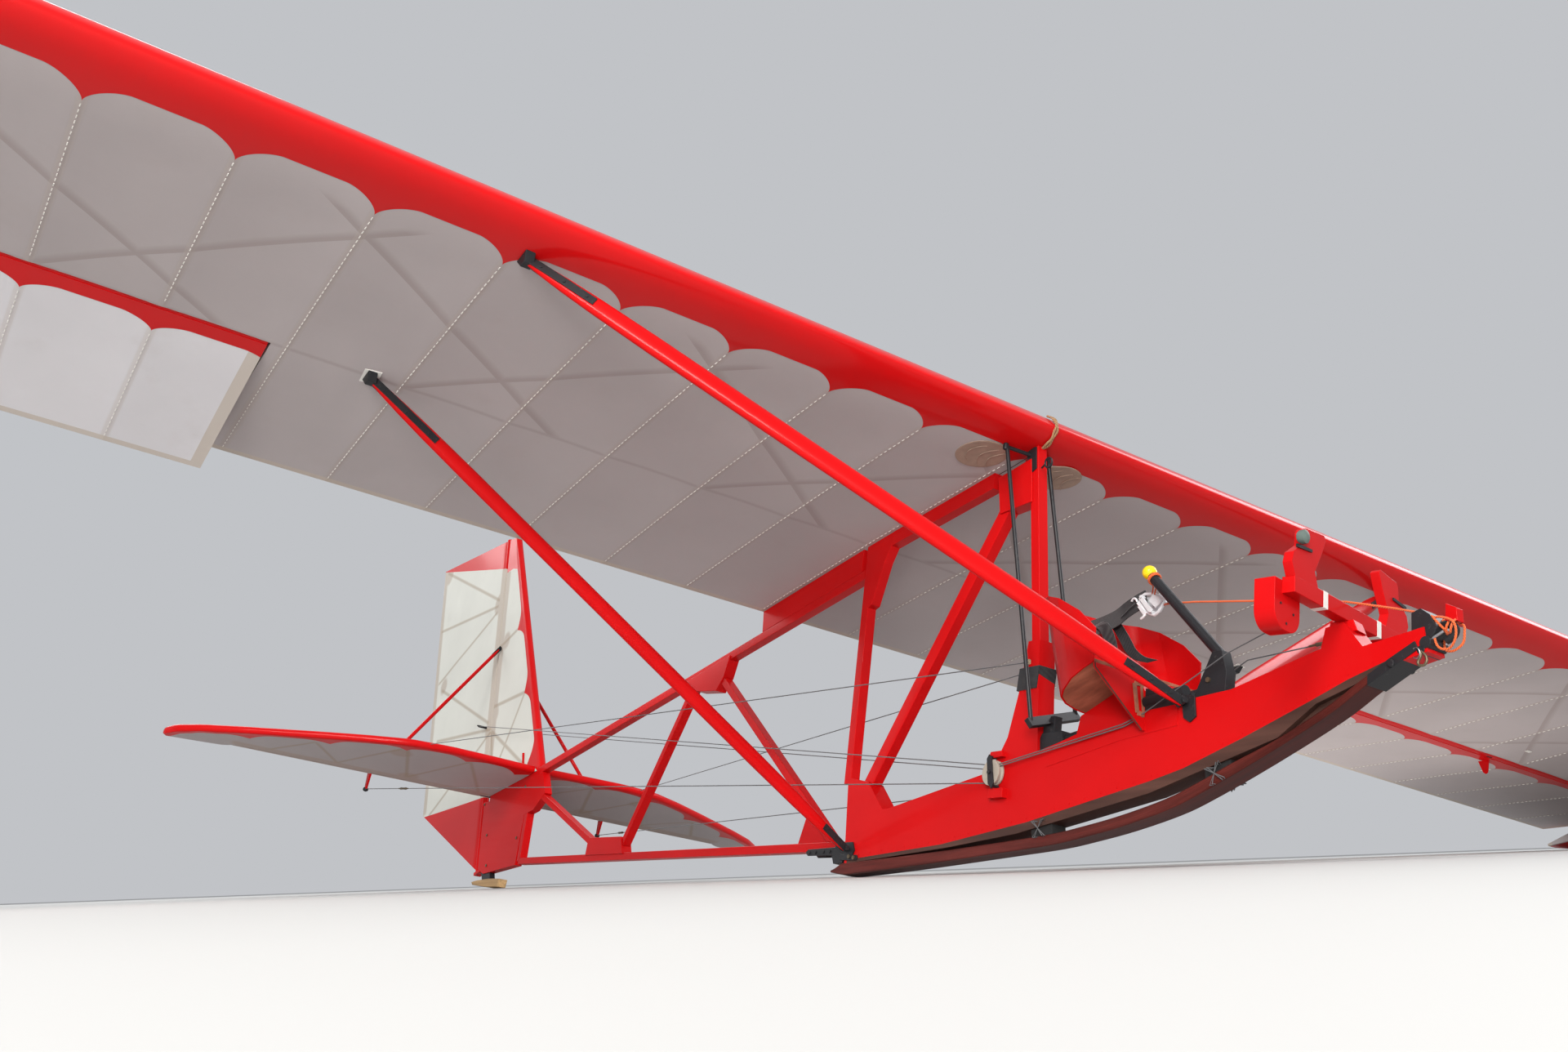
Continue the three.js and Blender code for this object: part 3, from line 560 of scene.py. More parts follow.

# Frame members whose shadows are painted through the tail's fabric, in the fuselage side view
RUDDER_RIBS = [
    ((-4.440, 1.445), (-5.430, 1.790)), ((-4.440, 1.412), (-5.330, 1.415)),
    ((-4.440, 1.378), (-5.190, 1.085)), ((-4.250, 0.765), (-5.110, 1.042)),
    ((-4.200, 0.728), (-5.020, 0.745)), ((-4.190, 0.715), (-4.900, 0.335)),
]
FIN_RIBS = [
    ((-4.094, 1.230), (-4.300, 1.165)), ((-3.834, 0.873), (-4.215, 0.845)),
    ((-4.180, 0.715), (-3.700, 0.515)), ((-4.180, 0.715), (-4.060, 0.470)),
    ((-3.834, 0.873), (-4.060, 0.470)),
]
# The same in plan, for the level surfaces: distance ahead of the hinge, and from the middle line
STABILISER_RIBS = [((0.480, 0.304), (0.060, 0.450)), ((0.495, 0.603), (0.060, 0.450)), ((0.495, 0.603),
                                                                                        (0.060, 0.780)),
                   ((0.298, 0.953), (0.060, 0.780)), ((0.298, 0.953), (0.060, 1.080)), ((0.480, 0.304),
                                                                                        (0.060, 0.090))]
ELEVATOR_RIBS = [
    ((0.0, 0.30), (-0.420, 0.360)), ((0.0, 0.55), (-0.420, 0.460)), ((0.0, 0.60), (-0.420, 0.700)),
    ((0.0, 0.90), (-0.420, 0.800)), ((0.0, 0.95), (-0.380, 1.080)),
]


def framed(ribs, half):
    """Ribs with half the width that they show."""
    return [(start, end, half) for start, end in ribs]


def make_materials():
    """All finishes, once."""
    cloth = tuple(colours().fabric)
    MATERIALS.update({
        "red": gloss_paint("gloss_red", (1.2, 14, 14)),
        "red_upright": gloss_paint("gloss_red_upright", (14, 14, 1.2)),
        "wing": wing_fabric("wing_fabric", WING, cloth),
        # The aileron fabrics are lighter copies of the wing fabric: painted light
        "aileron_port": wing_fabric("aileron_fabric_port", AILERON_PORT, tint(cloth, 1.08), True),
        "aileron_starboard": wing_fabric("aileron_fabric_starboard", AILERON_STARBOARD,
                                         tuple(colours().aileron), True),
        # In the tail fabrics the ribs, round patches and bands along spars and hinges are painted shadow
        # of the frame; bands along trailing edges are tape
        "rudder": tail_fabric(
            "rudder_fabric", BODY, False, framed(RUDDER_RIBS, 0.008),
            [((-4.030, 0.030), (-4.490, 1.785), 0.040), ((-4.980, 0.338), (-5.478, 1.812), 0.034)],
            [(-4.430, 1.425, 0.062), (-5.400, 1.770, 0.060), (-4.215, 0.730, 0.055),
             (-5.090, 1.062, 0.045)],
            reds=[((-5.4464, 1.800), (-4.378, 1.609)), ((-4.0977, 0.3838), (-4.9514, 0.3326))]),
        "fin": tail_fabric(
            "fin_fabric", BODY, False, framed(FIN_RIBS, 0.009),
            [((-4.095, 0.440), (-4.440, 1.780), 0.030)],
            [(-4.190, 0.800, 0.050), (-4.225, 1.190, 0.045)], 0.037,
            [(0.115, 0.12), (0.544, 0.052), (0.983, 0.062), (1.470, 0.14)],
            reds=[((-4.378, 1.609), (-4.250, 1.582))]),
        "stabiliser": tail_fabric(
            "stabiliser_fabric", TAIL, True, framed(STABILISER_RIBS, 0.008),
            [((0.045, 0.02), (0.045, 1.25), 0.022)], [(0.40, 0.60, 0.05), (0.08, 0.45, 0.05)], 0.034,
            [(0.05, 0.07), (0.304, 0.052), (0.603, 0.052), (0.953, 0.052), (1.302, 0.05)],
            cloth=tint(cloth, 0.95)),
        "elevator": tail_fabric(
            "elevator_fabric", ELEVATOR, True, framed(ELEVATOR_RIBS, 0.008),
            [((0.0, 0.06), (0.0, 1.24), 0.026), ((-0.42, 0.275), (-0.42, 0.90), 0.018)], cloth=cloth),
        "skid": laminated("laminated_skid", tuple(colours().mahogany)),
        "plywood": wood("bare_plywood", tuple(colours().plywood), 0.62, 22.0),
        "shoe_wood": wood("shoe_wood", (0.42, 0.27, 0.13), 0.7, 26.0),
        "rail_wood": wood("rail_wood", (0.060, 0.026, 0.019), 0.6, 26.0),
        "black": worn_metal("black_fittings", (0.013, 0.013, 0.015)),
        "steel": plain("bare_steel", (0.42, 0.42, 0.44), 0.34, 1.0, 60.0, 0.25, 0.15),
        "chrome": plain("satin_buckle", (0.74, 0.75, 0.77), 0.36, 0.35, 35.0, 0.14, 0.06),
        "fibre": plain("fibre_wheel", (0.34, 0.30, 0.25), 0.6, 0.0, 60.0, 0.2, 0.2),
        "stop": plain("grey_green_stop", (0.115, 0.150, 0.135), 0.5, 0.0, 60.0, 0.25, 0.2),
        "yellow": plain("yellow_knob", (0.80, 0.56, 0.01), 0.28, 0.0, 50.0, 0.10, 0.08, coat=0.4),
        "rubber": plain("black_rubber", (0.017, 0.016, 0.016), 0.78, 0.0, 80.0, 0.4, 0.5),
        "webbing": webbing("black_webbing", (0.014, 0.014, 0.016)),
        "thread": plain("white_thread", (0.80, 0.78, 0.74), 0.8, 0.0, 300.0, 0.10, 0.2),
        "tape_white": plain("white_tape", (0.72, 0.70, 0.66), 0.7, 0.0, 120.0, 0.12, 0.3),
        "orange": rope("orange_cord", (0.78, 0.13, 0.03), 160.0),
        "cord": rope("tan_cord", (0.36, 0.20, 0.09), 120.0),
        "cable": rope("steel_cable", (0.10, 0.10, 0.105), 420.0),
        "brass": plain("dull_brass", (0.17, 0.13, 0.085), 0.45, 0.8, 70.0, 0.4, 0.2),
        "disc": plain("inspection_disc", (0.330, 0.235, 0.180), 0.5, 0.0, 40.0, 0.25, 0.2),
        "floor": plain("pale_floor", (0.50, 0.50, 0.49), 0.72, 0.0, 0.7, 0.02, 0.02),
    })


def coat_nodes(material, *names):
    """Gives solids of the frame that stay as they are their finish."""
    for name in names:
        if not NODES[name].material_slots:
            NODES[name].data.materials.append(MATERIALS[material])
        for slot in NODES[name].material_slots:
            slot.material = MATERIALS[material]


# Mesh building
def smooth_line(points, steps=3):
    """A curve through the points, with this many steps between two of them."""
    points = [Vector(p) for p in points]
    padded = [points[0] * 2 - points[1], *points, points[-1] * 2 - points[-2]]
    line = []
    for a, b, c, d in zip(padded, padded[1:], padded[2:], padded[3:]):
        for i in range(steps):
            t = i / steps
            line.append((b * 2 + (c - a) * t + (a * 2 - b * 5 + c * 4 - d) * t * t
                         + (b * 3 - a - c * 3 + d) * t * t * t) / 2)
    return line + [points[-1]]


def held(value):
    """The value, kept between 0 and 1."""
    return min(1.0, max(0.0, value))


def circle(centre, first, other, radius, sides):
    """Points round a centre, in the plane of two directions."""
    return [centre + (first * math.cos(t) + other * math.sin(t)) * radius
            for t in (2 * math.pi * k / sides for k in range(sides))]


def nearest(line, point):
    """Distance from a broken line, and how far along it that is."""
    best, run = (9.0, 0.0), 0.0
    for a, b in zip(line, line[1:]):
        ax, ay = b[0] - a[0], b[1] - a[1]
        length = math.hypot(ax, ay)
        part = held(((point[0] - a[0]) * ax + (point[1] - a[1]) * ay) / length ** 2)
        gap = math.hypot(point[0] - a[0] - ax * part, point[1] - a[1] - ay * part)
        if gap < best[0]:
            best = (gap, run + part * length)
        run += length
    return best


def between(line, at, column=0):
    """The other coordinate of a line at this place, read off a table sorted by the first."""
    other = 1 - column
    for before, after in zip(line, line[1:]):
        low, high = sorted((before[column], after[column]))
        if low <= at <= high and high > low:
            part = (at - before[column]) / (after[column] - before[column])
            return before[other] + (after[other] - before[other]) * part
    return line[-1][other] if abs(at - line[-1][column]) < abs(at - line[0][column]) else line[0][other]


class Shape:
    """Collects faces in one frame, then becomes one object."""

    def __init__(self, matrix=BODY):
        self.matrix = matrix
        self.points = []
        self.faces = []
        self.maps = []

    def _add(self, points, faces, maps=None):
        start = len(self.points)
        self.points += [Vector(p) for p in points]
        self.faces += [[start + i for i in face] for face in faces]
        self.maps += maps or [[(0.0, 0.0)] * len(face) for face in faces]

    def tube(self, path, radius, sides=10, closed=False):
        """Round bar along a path."""
        path = [Vector(p) for p in path]
        count = len(path)
        rings, lengths, run = [], [], 0.0
        normal = None
        for i, at in enumerate(path):
            ahead = path[(i + 1) % count] if closed or i < count - 1 else at
            behind = path[i - 1] if closed or i > 0 else at
            direction = (ahead - behind).normalized()
            if normal is None:
                normal = direction.orthogonal().normalized()
            normal = (normal - direction * normal.dot(direction)).normalized()
            other = direction.cross(normal)
            if i:
                run += (at - path[i - 1]).length
            lengths.append(run)
            rings.append(circle(at, normal, other, radius, sides))
        points = [p for ring in rings for p in ring]
        faces, maps = [], []
        for i in range(count if closed else count - 1):
            j = (i + 1) % count
            for k in range(sides):
                n = (k + 1) % sides
                faces.append([i * sides + k, i * sides + n, j * sides + n, j * sides + k])
                u0, u1 = lengths[i], lengths[i + 1] if i + 1 < count else run
                maps.append([(u0, k / sides), (u0, (k + 1) / sides), (u1, (k + 1) / sides),
                             (u1, k / sides)])
        if not closed:
            faces.append(list(range(sides))[::-1])
            maps.append([(0.0, 0.0)] * sides)
            last = (count - 1) * sides
            faces.append([last + k for k in range(sides)])
            maps.append([(run, 0.0)] * sides)
        self._add(points, faces, maps)
        return self

    def ring(self, centre, axis, radius, thick, turns=24, sides=8):
        axis = Vector(axis).normalized()
        first = axis.orthogonal().normalized()
        path = circle(Vector(centre), first, axis.cross(first), radius, turns)
        return self.tube(path, thick, sides, closed=True)

    def pin(self, x, z, start, end, radius, sides):
        """Round bar straight across, at one place of the side view."""
        return self.tube([(x, start, z), (x, end, z)], radius, sides)

    def cord(self, points, radius, sides, steps=4):
        """Round bar that bends smoothly through the points."""
        return self.tube(smooth_line(points, steps), radius, sides)

    def prism(self, outline, lift, thickness):
        """A plate with this outline of points, thickened along lift."""
        lift = Vector(lift).normalized() * (thickness / 2)
        base = [Vector(p) for p in outline]
        count = len(base)
        points = [p - lift for p in base] + [p + lift for p in base]
        faces = [list(range(count))[::-1], [count + i for i in range(count)]]
        faces += [[i, (i + 1) % count, count + (i + 1) % count, count + i] for i in range(count)]
        self._add(points, faces)
        return self

    def plate(self, y, outline, thickness):
        """An upright plate, drawn in the side view."""
        return self.prism([(x, y, z) for x, z in outline], ACROSS, thickness)

    def plates(self, y, outline, thickness):
        """The same plate on both sides."""
        for side in (-1, 1):
            self.plate(side * y, outline, thickness)

    def lathe(self, start, axis, profile, sides):
        """A turned piece: profile holds (distance along axis, radius)."""
        axis = Vector(axis).normalized()
        first = axis.orthogonal().normalized()
        return self.loft([circle(Vector(start) + axis * along, first, axis.cross(first), radius, sides)
                          for along, radius in profile])

    def ribbon(self, path, across, width, thickness):
        """A flat strap along a path, width measured along across."""
        across = Vector(across).normalized()
        path = [Vector(p) for p in path]
        points = []
        for i, at in enumerate(path):
            direction = (path[min(i + 1, len(path) - 1)] - path[max(i - 1, 0)]).normalized()
            up = direction.cross(across).normalized() * (thickness / 2)
            side = across * (width / 2)
            points += [at - side - up, at + side - up, at + side + up, at - side + up]
        faces = [[0, 1, 2, 3], [len(points) - 1, len(points) - 2, len(points) - 3, len(points) - 4]]
        for i in range(len(path) - 1):
            a, b = i * 4, i * 4 + 4
            faces += [[a + k, b + k, b + (k + 1) % 4, a + (k + 1) % 4] for k in range(4)]
        self._add(points, faces)
        return self

    def loft(self, rings, maps=None):
        """A closed skin over rings of points that share their count."""
        count = len(rings[0])
        points = [p for ring in rings for p in ring]
        faces, layers = [], []
        for r in range(len(rings) - 1):
            for i in range(count):
                n = (i + 1) % count
                a, b = r * count, (r + 1) * count
                faces.append([a + i, a + n, b + n, b + i])
                if maps:
                    layers.append([maps[r][i], maps[r][n], maps[r + 1][n], maps[r + 1][i]])
        for r, turn in ((0, -1), (len(rings) - 1, 1)):
            order = list(range(count))[::turn]
            faces.append([r * count + i for i in order])
            if maps:
                layers.append([maps[r][i] for i in order])
        self._add(points, faces, layers or None)
        return self

    def turnbuckle(self, centre, along, size=1.0):
        """Barrel with a waist and a fork at each end."""
        along = Vector(along).normalized()
        start = Vector(centre) - along * 0.045 * size
        profile = [(0.0, 0.0015), (0.002, 0.003), (0.018, 0.003), (0.020, 0.0052), (0.040, 0.0044),
                   (0.050, 0.0044), (0.070, 0.0052), (0.072, 0.003), (0.088, 0.003), (0.090, 0.0015)]
        return self.lathe(start, along, [(a * size, r * size) for a, r in profile], 12)

    def bar(self, start, end, width, depth, sizes_along, across=ALONG, sides=20):
        """A streamlined bar: width along across, depth over it, scaled along its length."""
        start, end = Vector(start), Vector(end)
        along = (end - start).normalized()
        wide = (Vector(across) - along * along.dot(Vector(across))).normalized()
        deep = along.cross(wide)
        return self.loft([circle(start.lerp(end, at), wide * width, deep * depth, size / 2, sides)
                          for at, size in sizes_along])

    def leaf(self, fronts, backs, place, half_front, half_back, bays, edge_line=None, sag=0.0022):
        """A tail panel from stations with a front and a back point each, round at the front."""
        rings, maps = [], []
        total = len(fronts) - 1
        for i, (front, back) in enumerate(zip(fronts, backs)):
            chord = math.hypot(back[0] - front[0], back[1] - front[1]) or 1e-6
            nose = min(half_front, chord * 0.45)
            hollow = abs(math.sin(math.pi * bays * i / total)) ** 0.7 * sag
            upper = []
            for t in (1.0, 0.97, 0.85, 0.7, 0.55, 0.4, 0.25, 0.12, 0.06):
                half = half_front + (half_back - half_front) * t
                dip = hollow * min(1.0, 6 * (1 - t), 8 * t) * (1 if chord > 0.15 else 0)
                at = max(t, nose / chord) if t < 0.2 else t
                upper.append((at, max(0.0012, min(half, chord * 0.3) - dip)))
            arc = [(nose / chord * (1 - math.cos(a)), nose * math.sin(a))
                   for a in (math.pi / 2 * k / 4 for k in (3, 2, 1))]
            profile = upper + arc + [(0.0, 0.0)]
            profile += [(t, -h) for t, h in reversed(upper + arc)]
            ring, coords = [], []
            for t, height in profile:
                spot = (front[0] + (back[0] - front[0]) * t, front[1] + (back[1] - front[1]) * t)
                ring.append(Vector(place(*spot, height)))
                coords.append(nearest(edge_line, spot) if edge_line else (0.0, 0.0))
            rings.append(ring)
            maps.append(coords)
        return self.loft(rings, maps)

    def make(self, name, material, body="airframe", bevel=0.0, carve=None, instead_of=(), sharp=50):
        """Puts the shape in the scene; edges over the angle sharp stay sharp where no bevel is asked."""
        mesh = self.mesh(name)
        tidy(mesh, bevel)
        return settled(name, mesh, material, body, carve, instead_of, 0 if bevel else sharp)

    def mesh(self, name):
        mesh = bpy.data.meshes.new(name)
        mesh.from_pydata([self.matrix @ p for p in self.points], [], self.faces)
        layer = mesh.uv_layers.new(name="along")
        loops = iter(layer.data)
        for values in self.maps:
            for value in values:
                next(loops).uv = value
        return mesh


def tidy(mesh, bevel=0.0, weld=0.0):
    """Welds, turns the faces outwards and rounds the edges a little."""
    work = bmesh.new()
    work.from_mesh(mesh)
    if weld:
        bmesh.ops.remove_doubles(work, verts=work.verts, dist=weld)
    if bevel and weld:
        bmesh.ops.dissolve_limit(work, angle_limit=math.radians(3), verts=work.verts, edges=work.edges)
    bmesh.ops.recalc_face_normals(work, faces=work.faces)
    for face in work.faces:
        face.material_index = 0
        face.smooth = True
    if bevel:
        corners = [edge for edge in work.edges if edge.is_manifold and edge.calc_face_angle(0) > 0.6]
        for edge in work.edges:
            edge.smooth = not weld or not 0.07 < edge.calc_face_angle(0) <= 0.6
        bmesh.ops.bevel(work, geom=corners, offset=bevel, segments=2, affect="EDGES", profile=0.5,
                        clamp_overlap=True)
    if weld:
        bmesh.ops.triangulate(work, faces=[face for face in work.faces if len(face.verts) > 4])
    work.to_mesh(mesh)
    work.free()


def evaluated(obj):
    """The object's mesh with its modifiers carried out, which are then removed."""
    depsgraph = bpy.context.evaluated_depsgraph_get()
    mesh = bpy.data.meshes.new_from_object(obj.evaluated_get(depsgraph))
    obj.modifiers.clear()
    return mesh


def settled(name, mesh, material, body, carve=None, instead_of=(), sharp=0):
    """Puts a finished mesh in the scene on its body, in place of the nodes it stands for."""
    obj = bpy.data.objects.new(name, mesh)
    bpy.context.scene.collection.objects.link(obj)
    if carve:
        cutter, operation = carve
        shape = cutter.mesh(name + "_cutter")
        tidy(shape)
        tool = bpy.data.objects.new(name + "_cutter", shape)
        bpy.context.scene.collection.objects.link(tool)
        modifier = obj.modifiers.new("carve", "BOOLEAN")
        modifier.operation, modifier.solver, modifier.object = operation, "EXACT", tool
        obj.data = evaluated(obj)
        bpy.data.objects.remove(tool)
        tidy(obj.data, weld=0.00001)
    if sharp:
        obj.data.shade_smooth()
        obj.data.set_sharp_from_angle(angle=math.radians(sharp))
    else:
        modifier = obj.modifiers.new("flat_faces", "WEIGHTED_NORMAL")
        modifier.mode, modifier.keep_sharp = "FACE_AREA_WITH_ANGLE", True
        obj.data = evaluated(obj)
    obj.data.materials.clear()
    obj.data.materials.append(MATERIALS[material])
    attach(obj, body)
    if instead_of:
        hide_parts(*instead_of)
    return obj


def softened(material, bevel, *names):
    """Copies of plain solids with their edges rounded, as sanded and painted timber has them."""
    for name in names:
        mesh = NODES[name].data.copy()
        tidy(mesh, bevel, 0.0009)
        settled(name + "_finished", mesh, material, "airframe", instead_of=(name,))


def repeat_tree(name, corners, follow):
    """Geometry nodes that set a small form along lines or on points."""
    tree = bpy.data.node_groups.new(name, "GeometryNodeTree")
    face = tree.interface
    face.new_socket("Geometry", in_out="INPUT", socket_type="NodeSocketGeometry")
    for label, default in (("Pitch", 0.02), ("Length", 0.01), ("Radius", 0.001)):
        socket = face.new_socket(label, in_out="INPUT", socket_type="NodeSocketFloat")
        socket.default_value = default
    face.new_socket("Finish", in_out="INPUT", socket_type="NodeSocketMaterial")
    face.new_socket("Geometry", in_out="OUTPUT", socket_type="NodeSocketGeometry")
    nodes, link = tree.nodes, tree.links.new
    given, out = nodes.new("NodeGroupInput"), nodes.new("NodeGroupOutput")
    form = nodes.new("GeometryNodeMeshCylinder")
    form.inputs["Vertices"].default_value = corners
    link(given.outputs["Radius"], form.inputs["Radius"])
    link(given.outputs["Length"], form.inputs["Depth"])
    place = nodes.new("GeometryNodeInstanceOnPoints")
    link(form.outputs["Mesh"], place.inputs["Instance"])
    align = nodes.new("FunctionNodeAlignRotationToVector")
    align.axis = "Z"
    if follow:
        lines = nodes.new("GeometryNodeMeshToCurve")
        link(given.outputs["Geometry"], lines.inputs["Mesh"])
        spaced = nodes.new("GeometryNodeResampleCurve")
        spaced.mode = "LENGTH"
        link(lines.outputs["Curve"], spaced.inputs["Curve"])
        link(given.outputs["Pitch"], spaced.inputs["Length"])
        tangent = nodes.new("GeometryNodeInputTangent")
        link(tangent.outputs[0], align.inputs["Vector"])
        link(spaced.outputs["Curve"], place.inputs["Points"])
    else:
        facing = nodes.new("GeometryNodeInputNamedAttribute")
        facing.data_type = "FLOAT_VECTOR"
        facing.inputs["Name"].default_value = "facing"
        link(facing.outputs["Attribute"], align.inputs["Vector"])
        link(given.outputs["Geometry"], place.inputs["Points"])
    link(align.outputs["Rotation"], place.inputs["Rotation"])
    real = nodes.new("GeometryNodeRealizeInstances")
    link(place.outputs["Instances"], real.inputs["Geometry"])
    finish = nodes.new("GeometryNodeSetMaterial")
    link(real.outputs["Geometry"], finish.inputs["Geometry"])
    link(given.outputs["Finish"], finish.inputs["Material"])
    link(finish.outputs["Geometry"], out.inputs["Geometry"])
    return tree


def repeated(name, tree, points, edges, values, material, body, facing=None):
    """Runs a repeat tree over points or lines, and keeps the plain mesh."""
    base = bpy.data.meshes.new(name + "_path")
    base.from_pydata(points, edges, [])
    if facing:
        layer = base.attributes.new("facing", "FLOAT_VECTOR", "POINT")
        for item, vector in zip(layer.data, facing):
            item.vector = vector
    source = bpy.data.objects.new(name + "_path", base)
    bpy.context.scene.collection.objects.link(source)
    modifier = source.modifiers.new("repeat", "NODES")
    modifier.node_group = tree
    wanted = {**values, "Finish": MATERIALS[material]}
    for item in tree.interface.items_tree:
        if item.item_type == "SOCKET" and item.in_out == "INPUT" and item.name in wanted:
            modifier[item.identifier] = wanted[item.name]
    mesh = evaluated(source)
    mesh.name = name
    obj = bpy.data.objects.new(name, mesh)
    bpy.context.scene.collection.objects.link(obj)
    bpy.data.objects.remove(source)
    if not mesh.materials:
        mesh.materials.append(MATERIALS[material])
    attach(obj, body)
    return obj


def rib_lines(matrix, side, upper, *runs):
    """Lines on the skin over ribs, as points and edges; a run holds ribs and both ends of a line."""
    points, edges = [], []
    lift = 0.0006 if upper else -0.0006
    steps = 14
    for ribs, start, end in runs:
        for y in ribs:
            first = len(points)
            for i in range(steps + 1):
                x = start + (end - start) * i / steps
                points.append(matrix @ Vector((x, side * y, section_height(x, upper) + lift)))
            edges += [(first + i, first + i + 1) for i in range(steps)]
    return points, edges


class SAILPLANE_OT_stage(bpy.types.Operator):
    """Makes the floor, the soft studio lights and the camera."""
    bl_idname = "sailplane.stage"
    bl_label = "Stage"

    def execute(self, context):
        scene = context.scene
        world = bpy.data.worlds.new("studio")
        world.use_nodes = True
        world.node_tree.nodes["Background"].inputs[0].default_value = (0.86, 0.88, 0.92, 1)
        world.node_tree.nodes["Background"].inputs[1].default_value = 0.62
        scene.world = world
        mesh = bpy.data.meshes.new("floor")
        reach = 45.0
        mesh.from_pydata([(-reach, -reach, 0), (reach, -reach, 0), (reach, reach, 0),
                          (-reach, reach, 0)], [], [(0, 1, 2, 3)])
        mesh.materials.append(MATERIALS["floor"])
        floor = bpy.data.objects.new("floor", mesh)
        scene.collection.objects.link(floor)
        middle = (0.4, -0.2, 0.9)
        for name, place, aim, spread, size, power, colour in (
                ("key", (7.5, -7.0, 6.5), middle, 180, 5.0, 900.0, (1.0, 0.98, 0.95)),
                ("fill", (2.0, 9.0, 5.5), middle, 180, 6.0, 420.0, (0.93, 0.96, 1.0)),
                ("back", (-9.0, -2.0, 7.0), middle, 180, 6.0, 520.0, (1.0, 1.0, 1.0)),
                ("low", (9.5, -6.6, 2.2), middle, 80, 3.0, 150.0, (1.0, 0.97, 0.94)),
                ("under", (0.1, 3.0, 0.03), (0.1, 3.2, 2.0), 180, 3.6, 25.0, (1.0, 0.97, 0.93))):
            data = bpy.data.lights.new(name, "AREA")
            data.shape, data.size, data.energy, data.color = "DISK", size, power, colour
            data.spread = math.radians(spread)
            lamp = bpy.data.objects.new(name, data)
            lamp.location = place
            lamp.visible_camera = False
            lamp.visible_glossy = name != "under"
            way = Vector(aim) - Vector(place)
            lamp.rotation_euler = way.to_track_quat("-Z", "Y").to_euler()
            scene.collection.objects.link(lamp)
        scene.view_settings.view_transform = "Standard"
        self.camera(scene)
        return {"FINISHED"}

    def camera(self, scene):
        data = bpy.data.cameras.new("view")
        data.sensor_width = 36.0
        data.lens = 34.1
        right = Vector((0.53572, 0.84365, -0.03532))
        down = Vector((-0.21149, 0.09357, -0.97289))
        forward = Vector((-0.81748, 0.52867, 0.22856))
        eye = Vector((5.0274, -2.8637, 0.015))
        turn = Matrix((right, -down, -forward)).transposed()
        camera = bpy.data.objects.new("view", data)
        camera.matrix_world = Matrix.Translation(eye) @ turn.to_4x4()
        scene.collection.objects.link(camera)
        scene.camera = camera


class SAILPLANE_OT_finishes(bpy.types.Operator):
    """Gives every timber, cloth and metal part its finish."""
    # """Gives the frame's timber, metal, rubber and plastic parts their finish."""
    bl_idname = "sailplane.finishes"
    bl_label = "Finishes"

    def execute(self, context):
        softened("red_upright", 0.0016, "mast", "rear_post", "tail_post", "rear_diagonal")
        softened("red", 0.0016, "hull", "mast_gusset", "main_diagonal", "root_rail_front",
                 "root_rail_rear", "upper_boom", "lower_boom", "upper_gusset", "lower_gusset",
                 "front_diagonal", "tail_diagonal", "tail_panel")
        softened("red", 0.0008, "seat_shell", "seat_bulkhead")
        softened("shoe_wood", 0.0030, "tail_skid_shoe")
        softened("rail_wood", 0.0020, "nose_rail")
        softened("plywood", 0.0008, "seat_pan")
        softened("black", 0.0010, "front_fitting", "rear_fitting", "tail_skid_bracket", "stick_bracket",
                 "aileron_crank")
        coat_nodes("rubber", "skid_block_rear", "skid_block_front")
        coat_nodes("black", "elevator_torque_tube", "torque_tube", "stick", "push_rod_port",
                   "push_rod_starboard")
        coat_nodes("yellow", "stick_knob")
        return {"FINISHED"}


def skin_ring(y, side, chord=1.0, depth=1.0, hollow=0.0, hinge=0):
    """One closed ring of the wing's skin, slack between ribs by hollow, taut beside a hinge."""
    line = smooth_line([(x, upper) for x, upper, _ in SECTION]
                       + [(x, lower) for x, _, lower in SECTION[::-1]])
    ring = []
    for i, (x, z) in enumerate(line):
        slack = hollow * held((-0.012 - x) / 0.10) * held((x + 1.325) / 0.16)
        if hinge:
            slack *= held((hinge * (x - HINGE.x) - (0.09 if hinge < 0 else 0.0)) / 0.12)
        z = z - 0.0055 * slack if i < len(line) / 2 else z + 0.0038 * slack
        ring.append(Vector((TIP_CENTRE_X + (x - TIP_CENTRE_X) * chord, side * y,
                            TIP_CENTRE_Z + (z - TIP_CENTRE_Z) * depth)))
    return ring


def skin_rings(side, start, end, hinge=0):
    """Rings of the wing's skin between two places along the span."""
    stations = {round(start, 4), round(end, 4)}
    bay = -1
    while RIB_START + bay * RIB_PITCH < end:
        for i in range(8):
            y = RIB_START + (bay + i / 8) * RIB_PITCH
            if start < y < end:
                stations.add(round(y, 4))
        bay += 1
    rings = []
    for y in sorted(stations):
        phase = ((y - RIB_START) / RIB_PITCH) % 1.0
        hollow = (1 - abs(2 * phase - 1) ** 2.2) if y > RIB_START else 0.0
        beside = hinge or (1 if AILERON_INNER - 0.25 < y < AILERON_OUTER else 0)
        rings.append(skin_ring(y, side, hollow=hollow, hinge=beside))
    return rings


def aileron_space(matrix, side, inner, outer, radius):
    """All that lies behind the aileron hinge, with a round nose."""
    arc = [(HINGE.x + radius * math.sin(t), HINGE.z - radius * math.cos(t))
           for t in (math.pi * k / 20 for k in range(21))]
    outline = [(-1.6, -0.3), (HINGE.x, -0.3), *arc, (HINGE.x, 0.4), (-1.6, 0.4)]
    return Shape(matrix).plate(side * (inner + outer) / 2, outline, outer - inner)


